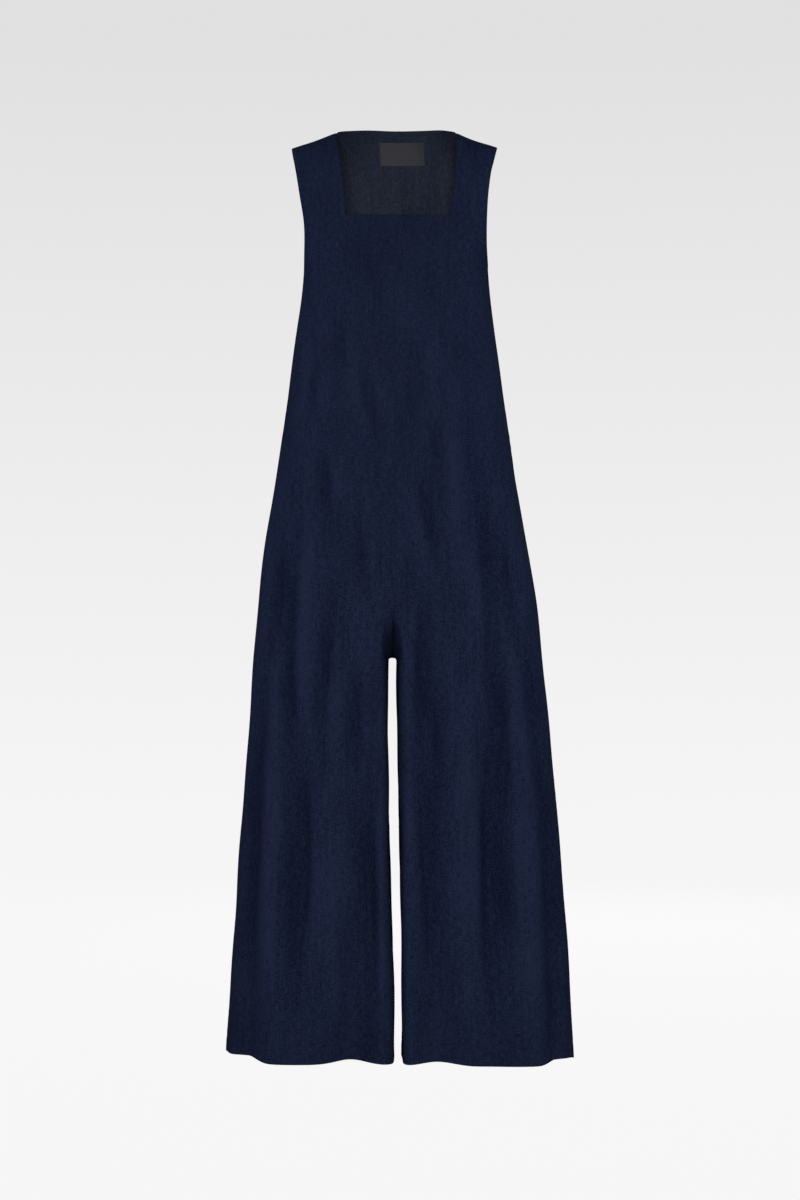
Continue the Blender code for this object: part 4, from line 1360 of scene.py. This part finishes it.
class JumpsuitFinishes(bpy.types.PropertyGroup):
    """Colours and yarns."""

    navy: dye("Navy", "The cloth outside and inside", (0.0075, 0.0112, 0.0305))
    charcoal: dye("Charcoal", "The back's facing", (0.0146, 0.0183, 0.0314))
    label: dye("Label", "The bare woven label", (0.0254, 0.0259, 0.0326))
    hem_thread: dye("Hem thread", "Stitches round the hems", (0.0075, 0.0100, 0.0240))
    label_thread: dye("Label thread", "Stitches at the label's ends", (0.012, 0.012, 0.014))
    yarn: metres("Yarn", "Distance between the cloth's yarns", 0.00075, min=0.0001, precision=5)
    contrast: portion("Heather", "How much lighter and darker than their mean the yarns are", 0.56)
    # Painted shade: how much lighter the ridges and darker the troughs are painted.
    painted_shading: portion("Painted shade", "How much lighter the ridges and how much darker the troughs are", 0.30)
    roughness: portion("Roughness", "Roughness of the cloth", 0.9)


class JumpsuitStitches(bpy.types.PropertyGroup):
    """Sizes of the stitches."""

    length: measure("Length", "Length of a stitch on the surface", 0.0023)
    pitch: metres("Pitch", "Distance between stitches", 0.0031, min=0.0005)
    thickness: measure("Thread", "Thickness of the thread", 0.0005)


class JumpsuitStage(bpy.types.PropertyGroup):
    """The camera, floor and lamps."""

    distance: measure("Distance", "Camera to the garment's middle", 4.0)
    turn: setting(
        "Turn", "How far the camera stands round to the wearer's left", np.radians(1.5),
        subtype="ANGLE", unit="ROTATION",
    )
    eye: metres("Eye", "Height of the camera", -0.7286)
    aside: measure("Aside", "How far the camera is moved to its own right", 0.0047)
    lens: setting("Lens", "Focal length in millimetres", 76.8, min=1)
    floor: metres("Floor", "Height of the floor", -1.75)
    key: watts("Front", "Power of the front softbox", 220)
    back: watts("Back", "Power of the softbox behind", 200)
    sides: watts("Sides", "Power of each softbox at the sides", 5)
    ambient: setting("Room", "Strength of the room's even light", 0.10, min=0)
    glow: setting("Paper", "Strength of the paper's own light", 0.95, min=0)


# ---------------------------------------------------------------------------------------------
# Operators


def cloth_finish(context):
    """The navy cloth, made once."""
    found = bpy.data.materials.get("navy_cloth_weave")
    finishes = context.scene.jumpsuit_finishes
    return found or woven(
        "navy_cloth_weave", finishes.navy, finishes.roughness, finishes.yarn, finishes.contrast,
        finishes.painted_shading,
    )


class JUMPSUIT_OT_fronts(bpy.types.Operator):
    """Make the two front pieces"""

    bl_idname = "jumpsuit.fronts"
    bl_label = "Fronts"

    def execute(self, context):
        for side in (1, -1):
            piece = make_panel(side, -1, context.scene.jumpsuit_cloth, cloth_finish(context))
            "back_" + side_name(side)
        return {"FINISHED"}


class JUMPSUIT_OT_backs(bpy.types.Operator):
    """Make the two back pieces"""

    bl_idname = "jumpsuit.backs"
    bl_label = "Backs"

    def execute(self, context):
        for side in (1, -1):
            piece = make_panel(side, 1, context.scene.jumpsuit_cloth, cloth_finish(context))
            "front_" + side_name(side)
        return {"FINISHED"}


class JUMPSUIT_OT_facings(bpy.types.Operator):
    """Make the charcoal facing inside the back, in two halves"""

    bl_idname = "jumpsuit.facings"
    bl_label = "Facings"

    def execute(self, context):
        finishes = context.scene.jumpsuit_finishes
        material = woven(
            "charcoal_facing_weave", finishes.charcoal, finishes.roughness,
            finishes.yarn * FACING_YARN, finishes.contrast * FACING_CONTRAST, 0,
        )
        for side in (1, -1):
            piece = make_facing(side, context.scene.jumpsuit_cloth, material)
            "back_" + side_name(side)
        return {"FINISHED"}


class JUMPSUIT_OT_label(bpy.types.Operator):
    """Make the bare woven label and the stitches at its ends"""

    bl_idname = "jumpsuit.label"
    bl_label = "Label"

    def execute(self, context):
        finishes = context.scene.jumpsuit_finishes
        stitches = context.scene.jumpsuit_stitches
        satin = ribbon("label_satin", finishes.label, SATIN_ROUGHNESS)
        piece, ends = make_label(context.scene.jumpsuit_cloth, satin)
        material = thread("label_thread", finishes.label_thread, LABEL_THREAD_ROUGHNESS)
        for side, (path, normal) in zip((-1, 1), ends):
            name = "label_stitches_" + side_name(side)
            sewing = stitch_row(name, path, normal, stitches, LABEL_STITCH_SIZE, material)
        return {"FINISHED"}


class JUMPSUIT_OT_hem_stitches(bpy.types.Operator):
    """Make the stitches round both hems"""

    bl_idname = "jumpsuit.hem_stitches"
    bl_label = "Hem stitches"

    def execute(self, context):
        finishes = context.scene.jumpsuit_finishes
        material = thread("hem_thread", finishes.hem_thread, HEM_THREAD_ROUGHNESS)
        for side in (1, -1):
            path, normal = hem_path(side, context.scene.jumpsuit_cloth)
            name = "hem_stitches_" + side_name(side)
            piece = stitch_row(name, path, normal, context.scene.jumpsuit_stitches, 1, material)
        return {"FINISHED"}


class JUMPSUIT_OT_stage(bpy.types.Operator):
    """Make the round paper bowl that is both floor and backdrop, the softboxes and the camera"""

    bl_idname = "jumpsuit.stage"
    bl_label = "Stage"

    def execute(self, context):
        stage = context.scene.jumpsuit_stage
        make_bowl(stage)
        for name, (power, *settings) in SOFTBOXES.items():
            make_softbox(name, getattr(stage, power), *settings)
        fill_room(stage)
        place_camera(stage)
        return {"FINISHED"}


class JUMPSUIT_PT_pieces(bpy.types.Panel):
    """Settings and pieces of the jumpsuit"""

    bl_label = "Jumpsuit"
    bl_idname = "JUMPSUIT_PT_pieces"
    bl_space_type = "VIEW_3D"
    bl_region_type = "UI"
    bl_category = "Jumpsuit"

    def draw(self, context):
        for group in GROUPS:
            settings = getattr(context.scene, group)
            box = self.layout.box()
            for name in settings.__annotations__:
                box.prop(settings, name)
        for operator in OPERATORS:
            self.layout.operator(operator.bl_idname)


GROUPS = {
    "jumpsuit_cloth": JumpsuitCloth,
    "jumpsuit_finishes": JumpsuitFinishes,
    "jumpsuit_stitches": JumpsuitStitches,
    "jumpsuit_stage": JumpsuitStage,
}
OPERATORS = (
    JUMPSUIT_OT_fronts,
    JUMPSUIT_OT_backs,
    JUMPSUIT_OT_facings,
    JUMPSUIT_OT_label,
    JUMPSUIT_OT_hem_stitches,
    JUMPSUIT_OT_stage,
)


def register():
    for group in (*GROUPS.values(), *OPERATORS, JUMPSUIT_PT_pieces):
        bpy.utils.register_class(group)
    for name, group in GROUPS.items():
        setattr(bpy.types.Scene, name, PointerProperty(type=group))


def unregister():
    for name in GROUPS:
        delattr(bpy.types.Scene, name)
    for group in (JUMPSUIT_PT_pieces, *reversed(OPERATORS), *reversed(GROUPS.values())):
        bpy.utils.unregister_class(group)


def main():
    """Registers the add-on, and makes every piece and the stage."""
    register()
    for operator in OPERATORS:
        name = operator.bl_idname.split(".")[1]
        getattr(bpy.ops.jumpsuit, name)()


if __name__ == "__main__":
    main()
